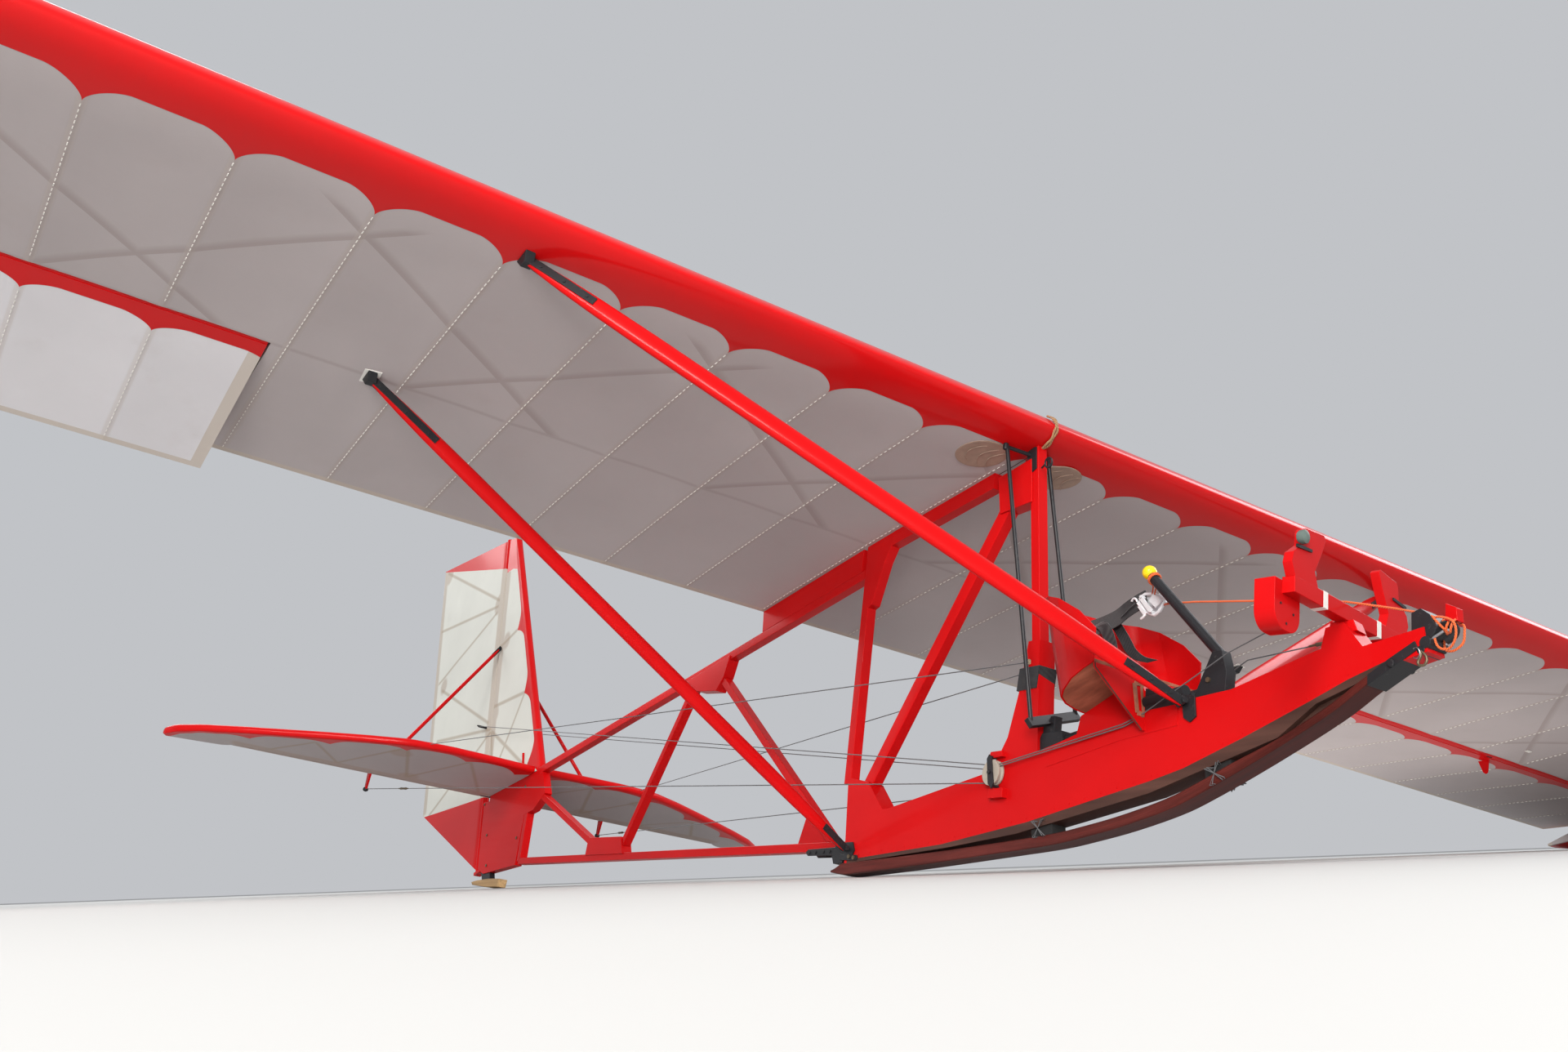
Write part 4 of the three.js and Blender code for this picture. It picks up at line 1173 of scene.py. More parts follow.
class SAILPLANE_OT_wings(bpy.types.Operator):
    """Covers wings and ailerons with fabric that is slack between its ribs."""
    bl_idname = "sailplane.wings"
    bl_label = "Wing and aileron skins"

    def execute(self, context):
        for name, side in SIDES:
            moved = AILERON_PORT if side > 0 else AILERON_STARBOARD
            rings = skin_rings(side, 0.0006, TIP_START)
            for i in range(1, 17):
                angle = i / 16 * TIP_TURN
                y = TIP_START + TIP_LENGTH * math.sin(angle) / math.sin(TIP_TURN)
                rings.append(skin_ring(y, side, math.cos(angle) ** 0.55, math.cos(angle) ** 0.8))
            space = aileron_space(WING, side, AILERON_INNER, AILERON_OUTER, 0.073)
            Shape(WING).loft(rings).make(f"wing_skin_{name}", "wing", carve=(space, "DIFFERENCE"),
                                         instead_of=(f"wing_{name}",))
            body = f"aileron_{name}"
            space = aileron_space(moved, side, AILERON_INNER + 0.006, AILERON_OUTER - 0.006, 0.067)
            rings = skin_rings(side, AILERON_INNER - 0.05, AILERON_OUTER, -1)
            Shape(moved).loft(rings).make(f"aileron_skin_{name}", body, body,
                                          carve=(space, "INTERSECT"), instead_of=(body,))
            horn = Shape(moved)
            y = side * HORN_STATION
            horn.plate(y, [(-0.731, 0.020), (-0.796, 0.020), (-0.763, -0.056), (-0.752, -0.063),
                           (-0.741, -0.056)], 0.006)
            horn.pin(-0.752, -0.055, y - 0.007, y + 0.007, 0.004, 10)
            horn.make(f"aileron_horn_{name}", "red", body, bevel=0.001)
            rods = Shape(WING)
            for y in (AILERON_INNER - 0.02, HORN_STATION - 0.04, AILERON_OUTER + 0.02):
                rods.pin(HINGE.x, HINGE.z - 0.064, side * (y - 0.018), side * (y + 0.018), 0.0045, 10)
            rods.make(f"aileron_hinges_{name}", "black")
        return {"FINISHED"}


FIN_EDGE = [(-3.460, 0.470), (-4.355, 1.778)]
STABILISER_EDGE = [
    (0.540, 0.017), (0.554, 0.250), (0.560, 0.430), (0.540, 0.610), (0.465, 0.780), (0.366, 0.970),
    (0.206, 1.260), (0.120, 1.400), (0.040, 1.490), (-0.060, 1.530),
]
STABILISER_BACK = [(0.022, 1.25), (-0.022, 1.252), (-0.050, 1.44), (-0.062, 1.53)]
ELEVATOR_EDGE = [(-0.004, 0.062), (-0.400, 0.258), (-0.430, 0.290), (-0.430, 0.900), (-0.405, 1.010),
                 (-0.350, 1.180), (-0.285, 1.268), (-0.210, 1.330), (-0.120, 1.385)]


def upright(x, z, height):
    """A spot of the fin or rudder, which stand in the side view."""
    return x, height, z


def divided(start, end, steps=36):
    """Spots at equal steps on a straight line."""
    start, end = Vector(start), Vector(end)
    return [tuple(start.lerp(end, i / steps)) for i in range(steps + 1)]


class SAILPLANE_OT_tail(bpy.types.Operator):
    """Covers fin, rudder, stabiliser and elevator, with round edges and slack cloth."""
    bl_idname = "sailplane.tail"
    bl_label = "Tail surfaces"

    def execute(self, context):
        backs = divided((-4.1170, 0.446), (-4.4525, 1.784))
        backs[0] = (-4.000, 0.428)
        fin = Shape().leaf(divided(*FIN_EDGE), backs, upright, 0.017, 0.016, 3, FIN_EDGE)
        fin.make("fin_skin", "fin", instead_of=("fin",))
        rudder = Shape().leaf(divided((-4.030, 0.030), (-4.490, 1.785)),
                              divided((-4.992, 0.338), (-5.490, 1.812)), upright, 0.0165, 0.005, 5)
        rudder.tube([(-4.028, 0, 0.022), (-4.492, 0, 1.793)], 0.0165, 20)
        rudder.make("rudder_skin", "rudder", "rudder", instead_of=("rudder",))
        arm = Shape().pin(-4.262, 0.741, -0.058, 0.058, 0.0060, 12)
        for y in (-0.058, 0.058):
            arm.ring((-4.262, y, 0.741), (0, 0.4, 1), 0.0075, 0.0022, 14, 6)
        arm.make("rudder_arm", "black", "rudder")
        peg = Shape().tube([(-3.674, -0.0185, 0.500), (-3.700, -0.0185, 0.562)], 0.0060, 10)
        peg.make("tail_peg", "red")
        for name, side in SIDES:
            self.level_tail(name, side)
        return {"FINISHED"}

    def level_tail(self, name, side):
        """One half of the stabiliser and of the elevator."""
        def level(x, y, height):
            return x, side * y, height

        stations = [0.019 + 1.502 * (1 - (1 - i / 44) ** 1.5) for i in range(45)]
        fronts = [(between(STABILISER_EDGE, y, 1), y) for y in stations]
        backs = [(0.022 if y < 1.25 else between(STABILISER_BACK, y, 1), y) for y in stations]
        panel = Shape(TAIL).leaf(fronts, backs, level, 0.0165, 0.0165, 4, STABILISER_EDGE)
        panel.make(f"stabiliser_skin_{name}", "stabiliser", instead_of=(f"stabiliser_{name}",))
        stations = [0.064 + 1.176 * i / 40 for i in range(41)]
        fronts = [(0.0, y) for y in stations]
        backs = [(min(-0.012, between(ELEVATOR_EDGE, y, 1)), y) for y in stations]
        for y in (1.262, 1.290, 1.320, 1.350, 1.378):
            front = -0.046 - (y - 1.24) * 0.20
            fronts.append((front, y))
            backs.append((min(between(ELEVATOR_EDGE, y, 1), front - 0.03), y))
        flap = Shape(ELEVATOR).leaf(fronts, backs, level, 0.0155, 0.005, 4)
        flap.pin(0, 0, side * 0.062, side * 1.238, 0.0155, 20)
        flap.make(f"elevator_skin_{name}", "elevator", "elevator", instead_of=(f"elevator_{name}",))
        horn, ball = Shape(ELEVATOR), Shape(ELEVATOR)
        y = side * 0.600
        for turn in (-1, 1):
            horn.plate(y, [(0.008, 0), (-0.036, 0), (-0.014, turn * 0.092), (0.004, turn * 0.092)],
                       0.010)
            ball.lathe((-0.005, y - 0.012, turn * 0.090), ACROSS,
                       [(0, 0.004), (0.003, 0.008), (0.012, 0.011), (0.021, 0.008), (0.024, 0.004)], 14)
        horn.make(f"elevator_horn_{name}", "red", "elevator", bevel=0.0015)
        ball.make(f"elevator_horn_end_{name}", "black", "elevator")


STRUT_TAPER = [
    (0.0, 0.40), (0.012, 0.52), (0.03, 0.66), (0.06, 0.80), (0.11, 0.92), (0.20, 1.0), (0.5, 1.0),
    (0.80, 1.0), (0.89, 0.92), (0.94, 0.80), (0.97, 0.66), (0.988, 0.52), (1.0, 0.40),
]
FRONT_HEAD = (0.060, 1.594, -0.002)
REAR_HEAD = (-0.690, 1.719, -0.004)


def wing_place(x, y, z):
    """A wing point in fuselage coordinates."""
    return BODY.inverted() @ (WING @ Vector((x, y, z)))


class SAILPLANE_OT_struts(bpy.types.Operator):
    """Shapes the tapered struts and straps their ends with steel."""
    bl_idname = "sailplane.struts"
    bl_label = "Struts"

    def execute(self, context):
        for name, side in SIDES:
            straps = Shape()
            for which, foot, head, width, depth, low, high in (
                    ("front", (0.408, 0.044, 0.318), FRONT_HEAD, 0.052, 0.030, 0.165, 0.20),
                    ("rear", (-0.924, 0.042, 0.024), REAR_HEAD, 0.046, 0.028, 0.10, 0.25)):
                start = Vector((foot[0], side * foot[1], foot[2]))
                end = wing_place(head[0], side * head[1], head[2])
                strut = Shape().bar(start, end, depth, width, STRUT_TAPER)
                strut.make(f"{which}_strut_{name}_shaped", "red", instead_of=(f"{which}_strut_{name}",))
                self.strapped(straps, start, end, depth, low, high)
            straps.make(f"strut_straps_{name}", "black", bevel=0.0006)
            start, end = Vector((-4.275, side * 0.0175, 1.161)), Vector((-4.019, side * 0.572, 0.415))
            strut = Shape().bar(start, end, 0.018, 0.018, [(0, 0.5), (0.02, 0.7), (0.06, 1), (0.94, 1),
                                                           (0.98, 0.7), (1, 0.5)])
            strut.make(f"tail_strut_{name}_shaped", "red", instead_of=(f"tail_strut_{name}",))
            ends = Shape()
            for a, b in ((start, end), (end, start)):
                ends.ribbon([a.lerp(b, at) for at in (0.0, 0.05, 0.075)], (1, 0, 0.2), 0.013, 0.019)
            ends.make(f"tail_strut_ends_{name}", "black", bevel=0.001)
        return {"FINISHED"}

    def strapped(self, straps, start, end, depth, low, high):
        """Steel straps on both faces of a strut's ends, with their bolts and end pins."""
        length = (end - start).length
        along = (end - start) / length
        across = (Vector(ALONG) - along * along.x).normalized()

        def surface(run):
            size = between(STRUT_TAPER, held(run / length))
            return start + along * run, across * (depth / 2 * size)

        for at, far in ((0.0, low), (length, -high)):
            for turn in (-1, 1):
                spots = [surface(at + far * k / 8) for k in range(9)]
                straps.ribbon([centre + (out + across * 0.001) * turn for centre, out in spots],
                              along.cross(across), 0.021, 0.0028)
            for k in (0.22, 0.55, 0.88):
                centre, out = surface(at + far * k)
                out = out + across * 0.0045
                straps.tube([centre - out, centre + out], 0.0042, 8)
        straps.tube([start - across * 0.018, start + across * 0.018], 0.007, 12)
        straps.tube([end - across * 0.020, end + across * 0.020], 0.007, 12)


# Lower edge of the skid, and its depth above that
SKID_LINE = [
    (-1.005, -0.044), (-0.950, -0.050), (-0.900, -0.050), (-0.700, -0.040), (-0.498, -0.028),
    (-0.214, -0.009), (-0.031, 0.004), (0.088, 0.019), (0.214, 0.039), (0.354, 0.069), (0.452, 0.100),
    (0.621, 0.166), (0.804, 0.246), (0.904, 0.302), (0.975, 0.338),
]
SKID_DEPTH = [(-1.005, 0.016), (-0.950, 0.034), (-0.900, 0.036), (-0.750, 0.034), (-0.450, 0.030),
              (-0.200, 0.028), (0.560, 0.028), (0.680, 0.019), (1.0, 0.019)]
# Lower edge of the hull, and the upper edge of the dark rubbing strake on its sides
KEEL_LINE = [
    (-0.925, -0.017), (-0.449, 0.014), (-0.164, 0.040), (0.028, 0.071), (0.303, 0.116), (0.475, 0.161),
    (0.676, 0.213), (0.776, 0.277), (0.978, 0.338),
]
STRAKE_TOP = [
    (-0.925, -0.008), (-0.477, 0.022), (-0.129, 0.066), (0.028, 0.094), (0.303, 0.143), (0.405, 0.165),
    (0.576, 0.219), (0.752, 0.280), (0.856, 0.318), (0.978, 0.354),
]


class SAILPLANE_OT_skid(bpy.types.Operator):
    """Bends the glued skid below the hull and lashes its blocks."""
    bl_idname = "sailplane.skid"
    bl_label = "Skid"

    def execute(self, context):
        line = smooth_line([(x, 0, z) for x, z in SKID_LINE], 5)
        rings, maps, run = [], [], 0.0
        half, soft = 0.030, 0.003
        for i, at in enumerate(line):
            thick = between(SKID_DEPTH, at.x)
            section = [(-half, soft), (-half, thick - soft), (-half + soft, thick),
                       (half - soft, thick), (half, thick - soft), (half, soft), (half - soft, 0.0),
                       (-half + soft, 0.0)]
            ahead = (line[min(i + 1, len(line) - 1)] - line[max(i - 1, 0)]).normalized()
            up = Vector((-ahead.z, 0, ahead.x))
            if i:
                run += (at - line[i - 1]).length
            ends = min(1.0, 0.45 + 14 * min(run, 2.1 - run)) if i < len(line) - 1 else 0.45
            rings.append([at + Vector((0, y, 0)) + up * height * max(0.4, ends) for y,
                          height in section])
            maps.append([(run, height) for _, height in section])
        Shape().loft(rings, maps).make("skid_bow", "skid", instead_of=("skid",), sharp=40)
        rings = []
        for x in sorted({x for x, _ in KEEL_LINE + STRAKE_TOP}):
            low, top = between(KEEL_LINE, x) - 0.0015, between(STRAKE_TOP, x)
            rings.append([(x, -STRAKE_FACE, low), (x, STRAKE_FACE, low), (x, STRAKE_FACE, top),
                          (x, -STRAKE_FACE, top)])
        Shape().loft(rings).make("rubbing_strake", "rail_wood", sharp=12)
        lashing = Shape()
        for x, z, tilt in ((-0.070, 0.041, 0.10), (0.510, 0.139, 0.38)):
            ahead = Vector((1, 0, tilt)).normalized()
            up = Vector((-ahead.z, 0, ahead.x))
            for lean in (-0.022, -0.014, 0.014, 0.022):
                corners = [Vector((x, b, z)) + up * a + ahead * (lean * c)
                           for a, b, c in ((-0.014, -0.036, -1), (-0.014, 0.036, 1), (0.026, 0.040, -1),
                                           (0.026, -0.040, 1))]
                lashing.tube(corners, 0.0014, 6, closed=True)
        lashing.make("block_lashings", "cable")
        return {"FINISHED"}


class SAILPLANE_OT_stitching(bpy.types.Operator):
    """Sews the fabric to the ribs with white thread."""
    bl_idname = "sailplane.stitching"
    bl_label = "Rib stitching"

    def execute(self, context):
        tree = repeat_tree("stitch_row", 5, True)
        pitch, length = sizes().stitch_pitch, sizes().stitch_length
        values = {"Pitch": pitch, "Length": length, "Radius": 0.0013}
        ribs = [RIB_START + RIB_PITCH * i for i in range(15)]
        inner = [y for y in ribs if y < AILERON_INNER]
        beside = [y for y in ribs if y > AILERON_INNER]
        for name, side in SIDES:
            for place, upper in (("underside", False), ("top", True)):
                lines = rib_lines(WING, side, upper, (inner, STITCH_FRONT, STITCH_BACK),
                                  (beside, STITCH_FRONT, -0.655))
                repeated(f"stitches_{place}_{name}", tree, *lines, values, "thread", "airframe")
            matrix = AILERON_PORT if side > 0 else AILERON_STARBOARD
            lines = rib_lines(matrix, side, False, (beside, -0.83, STITCH_BACK))
            repeated(f"stitches_aileron_{name}", tree, *lines, values, "thread", f"aileron_{name}")
        return {"FINISHED"}


class SAILPLANE_OT_wing_fittings(bpy.types.Operator):
    """Adds strut heads, inspection discs and patches below the wing."""
    bl_idname = "sailplane.wing_fittings"
    bl_label = "Wing fittings"

    def execute(self, context):
        heads, patches = Shape(WING), Shape(WING)
        for side in (-1, 1):
            for x, y, _ in (FRONT_HEAD, REAR_HEAD):
                base = section_height(x, False)
                heads.prism([(x - 0.030, side * y, base + 0.002), (x + 0.030, side * y, base + 0.002),
                             (x + 0.012, side * (y - 0.006), base - 0.022),
                             (x - 0.012, side * (y - 0.006), base - 0.022)], ACROSS, 0.026)
            patches.prism([(-0.655, side * 1.696, 0.0005), (-0.662, side * 1.742, 0.0005),
                           (-0.728, side * 1.736, -0.0025), (-0.722, side * 1.692, -0.0025)], UP,
                          0.0024)
            patches.prism([(x, side * y, 0.0) for x, y in ((-0.560, 3.400), (-0.575, 3.400),
                                                           (-0.575, 3.430), (-0.560, 3.430))], UP,
                          0.0024)
        heads.make("strut_heads", "black", bevel=0.002)
        patches.make("fabric_patches", "tape_white")
        discs = Shape(WING)
        for x, y, radius in ((-0.005, -0.121, 0.077), (0.019, 0.151, 0.072)):
            discs.lathe((x, y, section_height(x, False) + 0.001), (0, 0, -1),
                        [(0.0, radius), (0.0022, radius), (0.003, radius - 0.004),
                         (0.0022, radius - 0.010), (0.0022, 0.004)], 40)
            for bow in (-0.4, 0.15, 0.6):
                crease = [(x + radius * (0.62 * t), y + radius * (bow + 0.35 * t * t - 0.2), -0.0028)
                          for t in (k / 6 - 1 for k in range(13))]
                discs.tube([(a, b, section_height(a, False) + c) for a, b, c in crease], 0.0012, 6)
        discs.make("inspection_discs", "disc")
        binding = Shape(WING)
        for k in range(2):
            y = (k - 0.5) * 0.0066
            line = smooth_line([(0.105, y, 0.0035), (0.140, y + 0.002, 0.007), (0.168, y, 0.022),
                                (0.184, y, 0.046), (0.176, y - 0.002, 0.075), (0.150, y, 0.097)], 4)
            binding.tube([p + Vector((0, 0.002 * math.sin(i * 1.1 + k * math.pi), 0))
                          for i, p in enumerate(line)], 0.0034, 8)
        binding.make("centre_binding", "cord")
        eyes = Shape()
        eyes.plates(0.019, [(-0.257, 1.155), (-0.212, 1.150), (-0.205, 1.082), (-0.232, 1.070)], 0.003)
        for side, reach in ((-1, 0.102), (1, 0.050)):
            eyes.bar((-0.235, side * 0.018, 1.130), (-0.249, side * reach, 1.134), 0.010, 0.012,
                     [(0, 0.9), (0.05, 1), (0.95, 1), (1, 0.9)])
            eyes.lathe((-0.249, side * reach, 1.124), UP,
                       [(0, 0.006), (0.003, 0.008), (0.017, 0.008), (0.020, 0.006)], 14)
        eyes.ring((-0.145, -0.028, 1.080), (0, 1, 0.15), 0.014, 0.003)
        eyes.tube([(-0.185, -0.017, 1.078), (-0.157, -0.028, 1.080)], 0.003, 8)
        eyes.make("mast_head_fittings", "black", bevel=0.0006)
        return {"FINISHED"}


class SAILPLANE_OT_timber_fastenings(bpy.types.Operator):
    """Sets bolts in the gussets and nails along the hull."""
    bl_idname = "sailplane.timber_fastenings"
    bl_label = "Timber fastenings"

    def execute(self, context):
        tree = repeat_tree("fastenings", 8, False)
        bolts = [(-4.077, 0.345, 0.018), (-3.970, 0.193, 0.018), (-3.597, 0.166, 0.018),
                 (-3.600, 0.400, 0.018), (-3.905, 0.050, 0.018), (-0.910, 0.001, 0.034),
                 (-0.885, -0.003, 0.034), (0.462, 0.372, 0.018)]
        nails = []
        for (ax, az), (bx, bz) in zip(STRAKE_TOP, STRAKE_TOP[1:]):
            count = max(1, round(math.hypot(bx - ax, bz - az) / 0.055))
            nails += [(ax + (bx - ax) * i / count, az + (bz - az) * i / count + 0.012, 0.0282)
                      for i in range(count)]
        for name, places, form, material in (
                ("panel_bolts", bolts, {"Radius": 0.0065, "Length": 0.005}, "brass"),
                ("hull_nails", nails, {"Radius": 0.0026, "Length": 0.0012}, "red")):
            points = [BODY @ Vector((x, side * y, z)) for x, z, y in places for side in (-1, 1)]
            facing = [ROLLED.to_3x3() @ Vector((0, side, 0)) for _ in places for side in (-1, 1)]
            repeated(name, tree, points, [], form, material, "airframe", facing)
        return {"FINISHED"}


class SAILPLANE_OT_rigging(bpy.types.Operator):
    """Runs the control cables with their turnbuckles."""
    bl_idname = "sailplane.rigging"
    bl_label = "Rigging"

    def execute(self, context):
        thin = sizes().cable_radius
        cables, buckles = Shape(), Shape()
        for side in (-1, 1):
            for run in (
                    [(0.800, 0.115, 0.452), (0.742, 0.085, 0.450), (0.532, 0.034, 0.422),
                     (0.276, 0.040, 0.304), (0.213, 0.040, 0.287), (-0.236, 0.044, 0.224)],
                    [(0.276, 0.036, 0.300), (0.213, 0.036, 0.282), (-0.236, 0.040, 0.220)]):
                cables.tube([(x, side * y, z) for x, y, z in run], thin, 6)
            buckles.turnbuckle((0.715, side * 0.078, 0.447), (0.21, side * 0.051, 0.028), 0.9)
            cables.tube([(-0.281, side * 0.044, 0.226), (-4.262, side * 0.058, 0.741)], thin, 6)
            for turn, start in ((1, Vector((-0.165, side * 0.0290, 0.500))),
                                (-1, Vector((-0.270, side * 0.040, 0.176)))):
                end = BODY.inverted() @ (ELEVATOR @ Vector((-0.005, side * 0.600, turn * 0.088)))
                cables.tube([start, end], thin, 6)
                buckles.turnbuckle(start.lerp(end, 0.90), end - start)
            buckles.tube([(-0.170, side * 0.026, 0.500), (-0.160, side * 0.033, 0.500)], 0.008, 10)
        cables.make("control_cables", "cable")
        buckles.make("turnbuckles", "brass")
        return {"FINISHED"}


def front_of_bulkhead(z):
    """How far ahead the leaning bulkhead of the seat stands at a height."""
    return 0.2597 + (0.404 - z) * 0.1594


class SAILPLANE_OT_seat_and_harness(bpy.types.Operator):
    """Adds the buckle, the webbing, the window frames and the panels beside the seat."""
    bl_idname = "sailplane.seat_and_harness"
    bl_label = "Seat and harness"

    def execute(self, context):
        self.buckle()
        self.straps()
        self.windows()
        edge = Shape()
        for side in (-1, 1):
            edge.ribbon([(front_of_bulkhead(z) - 0.0007, side * y, z) for y, z in ((0.184, 0.404),
                                                                                   (0.184, 0.392),
                                                                                   (0.042, 0.266))],
                        (0, 1, 1), 0.0030, 0.0016)
        edge.make("bulkhead_edges", "rail_wood")
        panels = Shape()
        panels.plates(0.0286, [(-0.065, 0.206), (0.204, 0.252), (0.382, 0.269), (0.383, 0.318),
                               (0.277, 0.357), (0.247, 0.397), (0.060, 0.326), (0.042, 0.282),
                               (-0.065, 0.256)], 0.0012)
        panels.make("hull_side_panels", "red")
        return {"FINISHED"}

    def buckle(self):
        """Plates, frame, rivets and hook of the buckle."""
        buckle = Shape()
        for outline, y, thick in (
                ([(0.206, 0.625), (0.218, 0.641), (0.258, 0.623), (0.229, 0.603)], 0.037, 0.004),
                ([(0.166, 0.640), (0.180, 0.641), (0.218, 0.600), (0.203, 0.597)], 0.040, 0.005),
                ([(0.160, 0.619), (0.171, 0.622), (0.192, 0.597), (0.183, 0.592)], 0.044, 0.005),
                ([(0.170, 0.646), (0.204, 0.646), (0.244, 0.622), (0.228, 0.597), (0.204, 0.594),
                  (0.172, 0.622)], 0.058, 0.003)):
            buckle.plate(y, outline, thick)
        frame_line = [(0.163, 0.632), (0.168, 0.647), (0.181, 0.651), (0.204, 0.647), (0.230, 0.638),
                      (0.249, 0.625), (0.241, 0.608), (0.231, 0.596), (0.217, 0.588), (0.200, 0.595),
                      (0.180, 0.612)]
        buckle.tube([(x, 0.047, z) for x, z in frame_line], 0.0042, 8, closed=True)
        for x, z in ((0.176, 0.642), (0.240, 0.622), (0.212, 0.597)):
            buckle.pin(x, z, 0.034, 0.062, 0.0040, 10)
        buckle.cord([(0.135, 0.046, 0.639), (0.142, 0.045, 0.645), (0.152, 0.045, 0.641),
                     (0.158, 0.046, 0.628), (0.166, 0.047, 0.620)], 0.0032, 8, 3)
        buckle.tube([(0.190, 0.042, 0.594), (0.185, 0.040, 0.587), (0.176, 0.040, 0.583)], 0.0034, 8)
        buckle.make("harness_buckle_frame", "chrome", instead_of=("harness_buckle",), bevel=0.0007)

    def straps(self):
        """The band round the post, and the webbing that lies on the seat."""
        band = Shape()
        band.ribbon([(-0.200, -0.0300, 0.455), (-0.122, -0.0300, 0.455), (-0.119, 0.0300, 0.455),
                     (-0.197, 0.0300, 0.455), (-0.200, -0.0300, 0.455)], (0.1, 0, 1), 0.062, 0.0024)
        band.make("post_strap", "webbing", bevel=0.0006)
        harness = Shape()
        for path, across, width in (
                ([(-0.072, 0.050, 0.584), (-0.020, 0.050, 0.590), (0.026, 0.050, 0.594),
                  (0.079, 0.050, 0.604), (0.115, 0.051, 0.621), (0.150, 0.052, 0.634),
                  (0.182, 0.052, 0.642)], (-0.28, 0.0, 0.96), 0.046),
                ([(-0.020, 0.055, 0.600), (0.030, 0.044, 0.592), (0.052, 0.044, 0.570),
                  (0.062, 0.048, 0.545), (0.068, 0.052, 0.520), (0.070, 0.054, 0.492)],
                 (1, 0.1, 0.4), 0.034),
                ([(0.048, 0.056, 0.604), (0.062, 0.066, 0.592), (0.074, 0.078, 0.567),
                  (0.084, 0.086, 0.545), (0.094, 0.094, 0.523), (0.112, 0.108, 0.505),
                  (0.140, 0.126, 0.497)], (1, 0.3, 0.2), 0.030)):
            harness.ribbon(smooth_line(path, 4), across, width, 0.003)
        harness.tube([(0.100, 0.046, 0.601), (0.132, 0.045, 0.622), (0.158, 0.044, 0.633)], 0.0022, 6)
        harness.make("harness_webbing", "webbing", bevel=0.0006, instead_of=("harness_strap",))

    def windows(self):
        """Frames of the openings in the bulkhead, and black plates below that paint the shade in the
        hull's openings.
        """
        window, dark, sleeve = Shape(), Shape(), Shape()
        # Black plates on the hull sides: painted shade in the hull's openings
        dark.plates(STRAKE_FACE, [(0.276, 0.316), (0.276, 0.372), (0.300, 0.366), (0.398, 0.350),
                             (0.398, 0.322)], 0.0012)
        corners = [(0.030, 0.386), (0.056, 0.380), (0.053, 0.306), (0.030, 0.306)]
        for side in (-1, 1):
            sleeve.tube([(0.272, side * 0.022, 0.338), (0.400, side * 0.022, 0.352)], 0.0150, 16)
            for a, b in zip(corners, corners[1:] + corners[:1]):
                wide = UP if abs(a[1] - b[1]) < 0.01 else ACROSS
                window.ribbon([(front_of_bulkhead(z), side * y, z) for y, z in (a, b)], wide, 0.012,
                              0.0030)
        window.make("window_frames", "plywood", bevel=0.0006)
        dark.make("hull_openings", "black")
        sleeve.make("torque_tube_sleeve", "black")


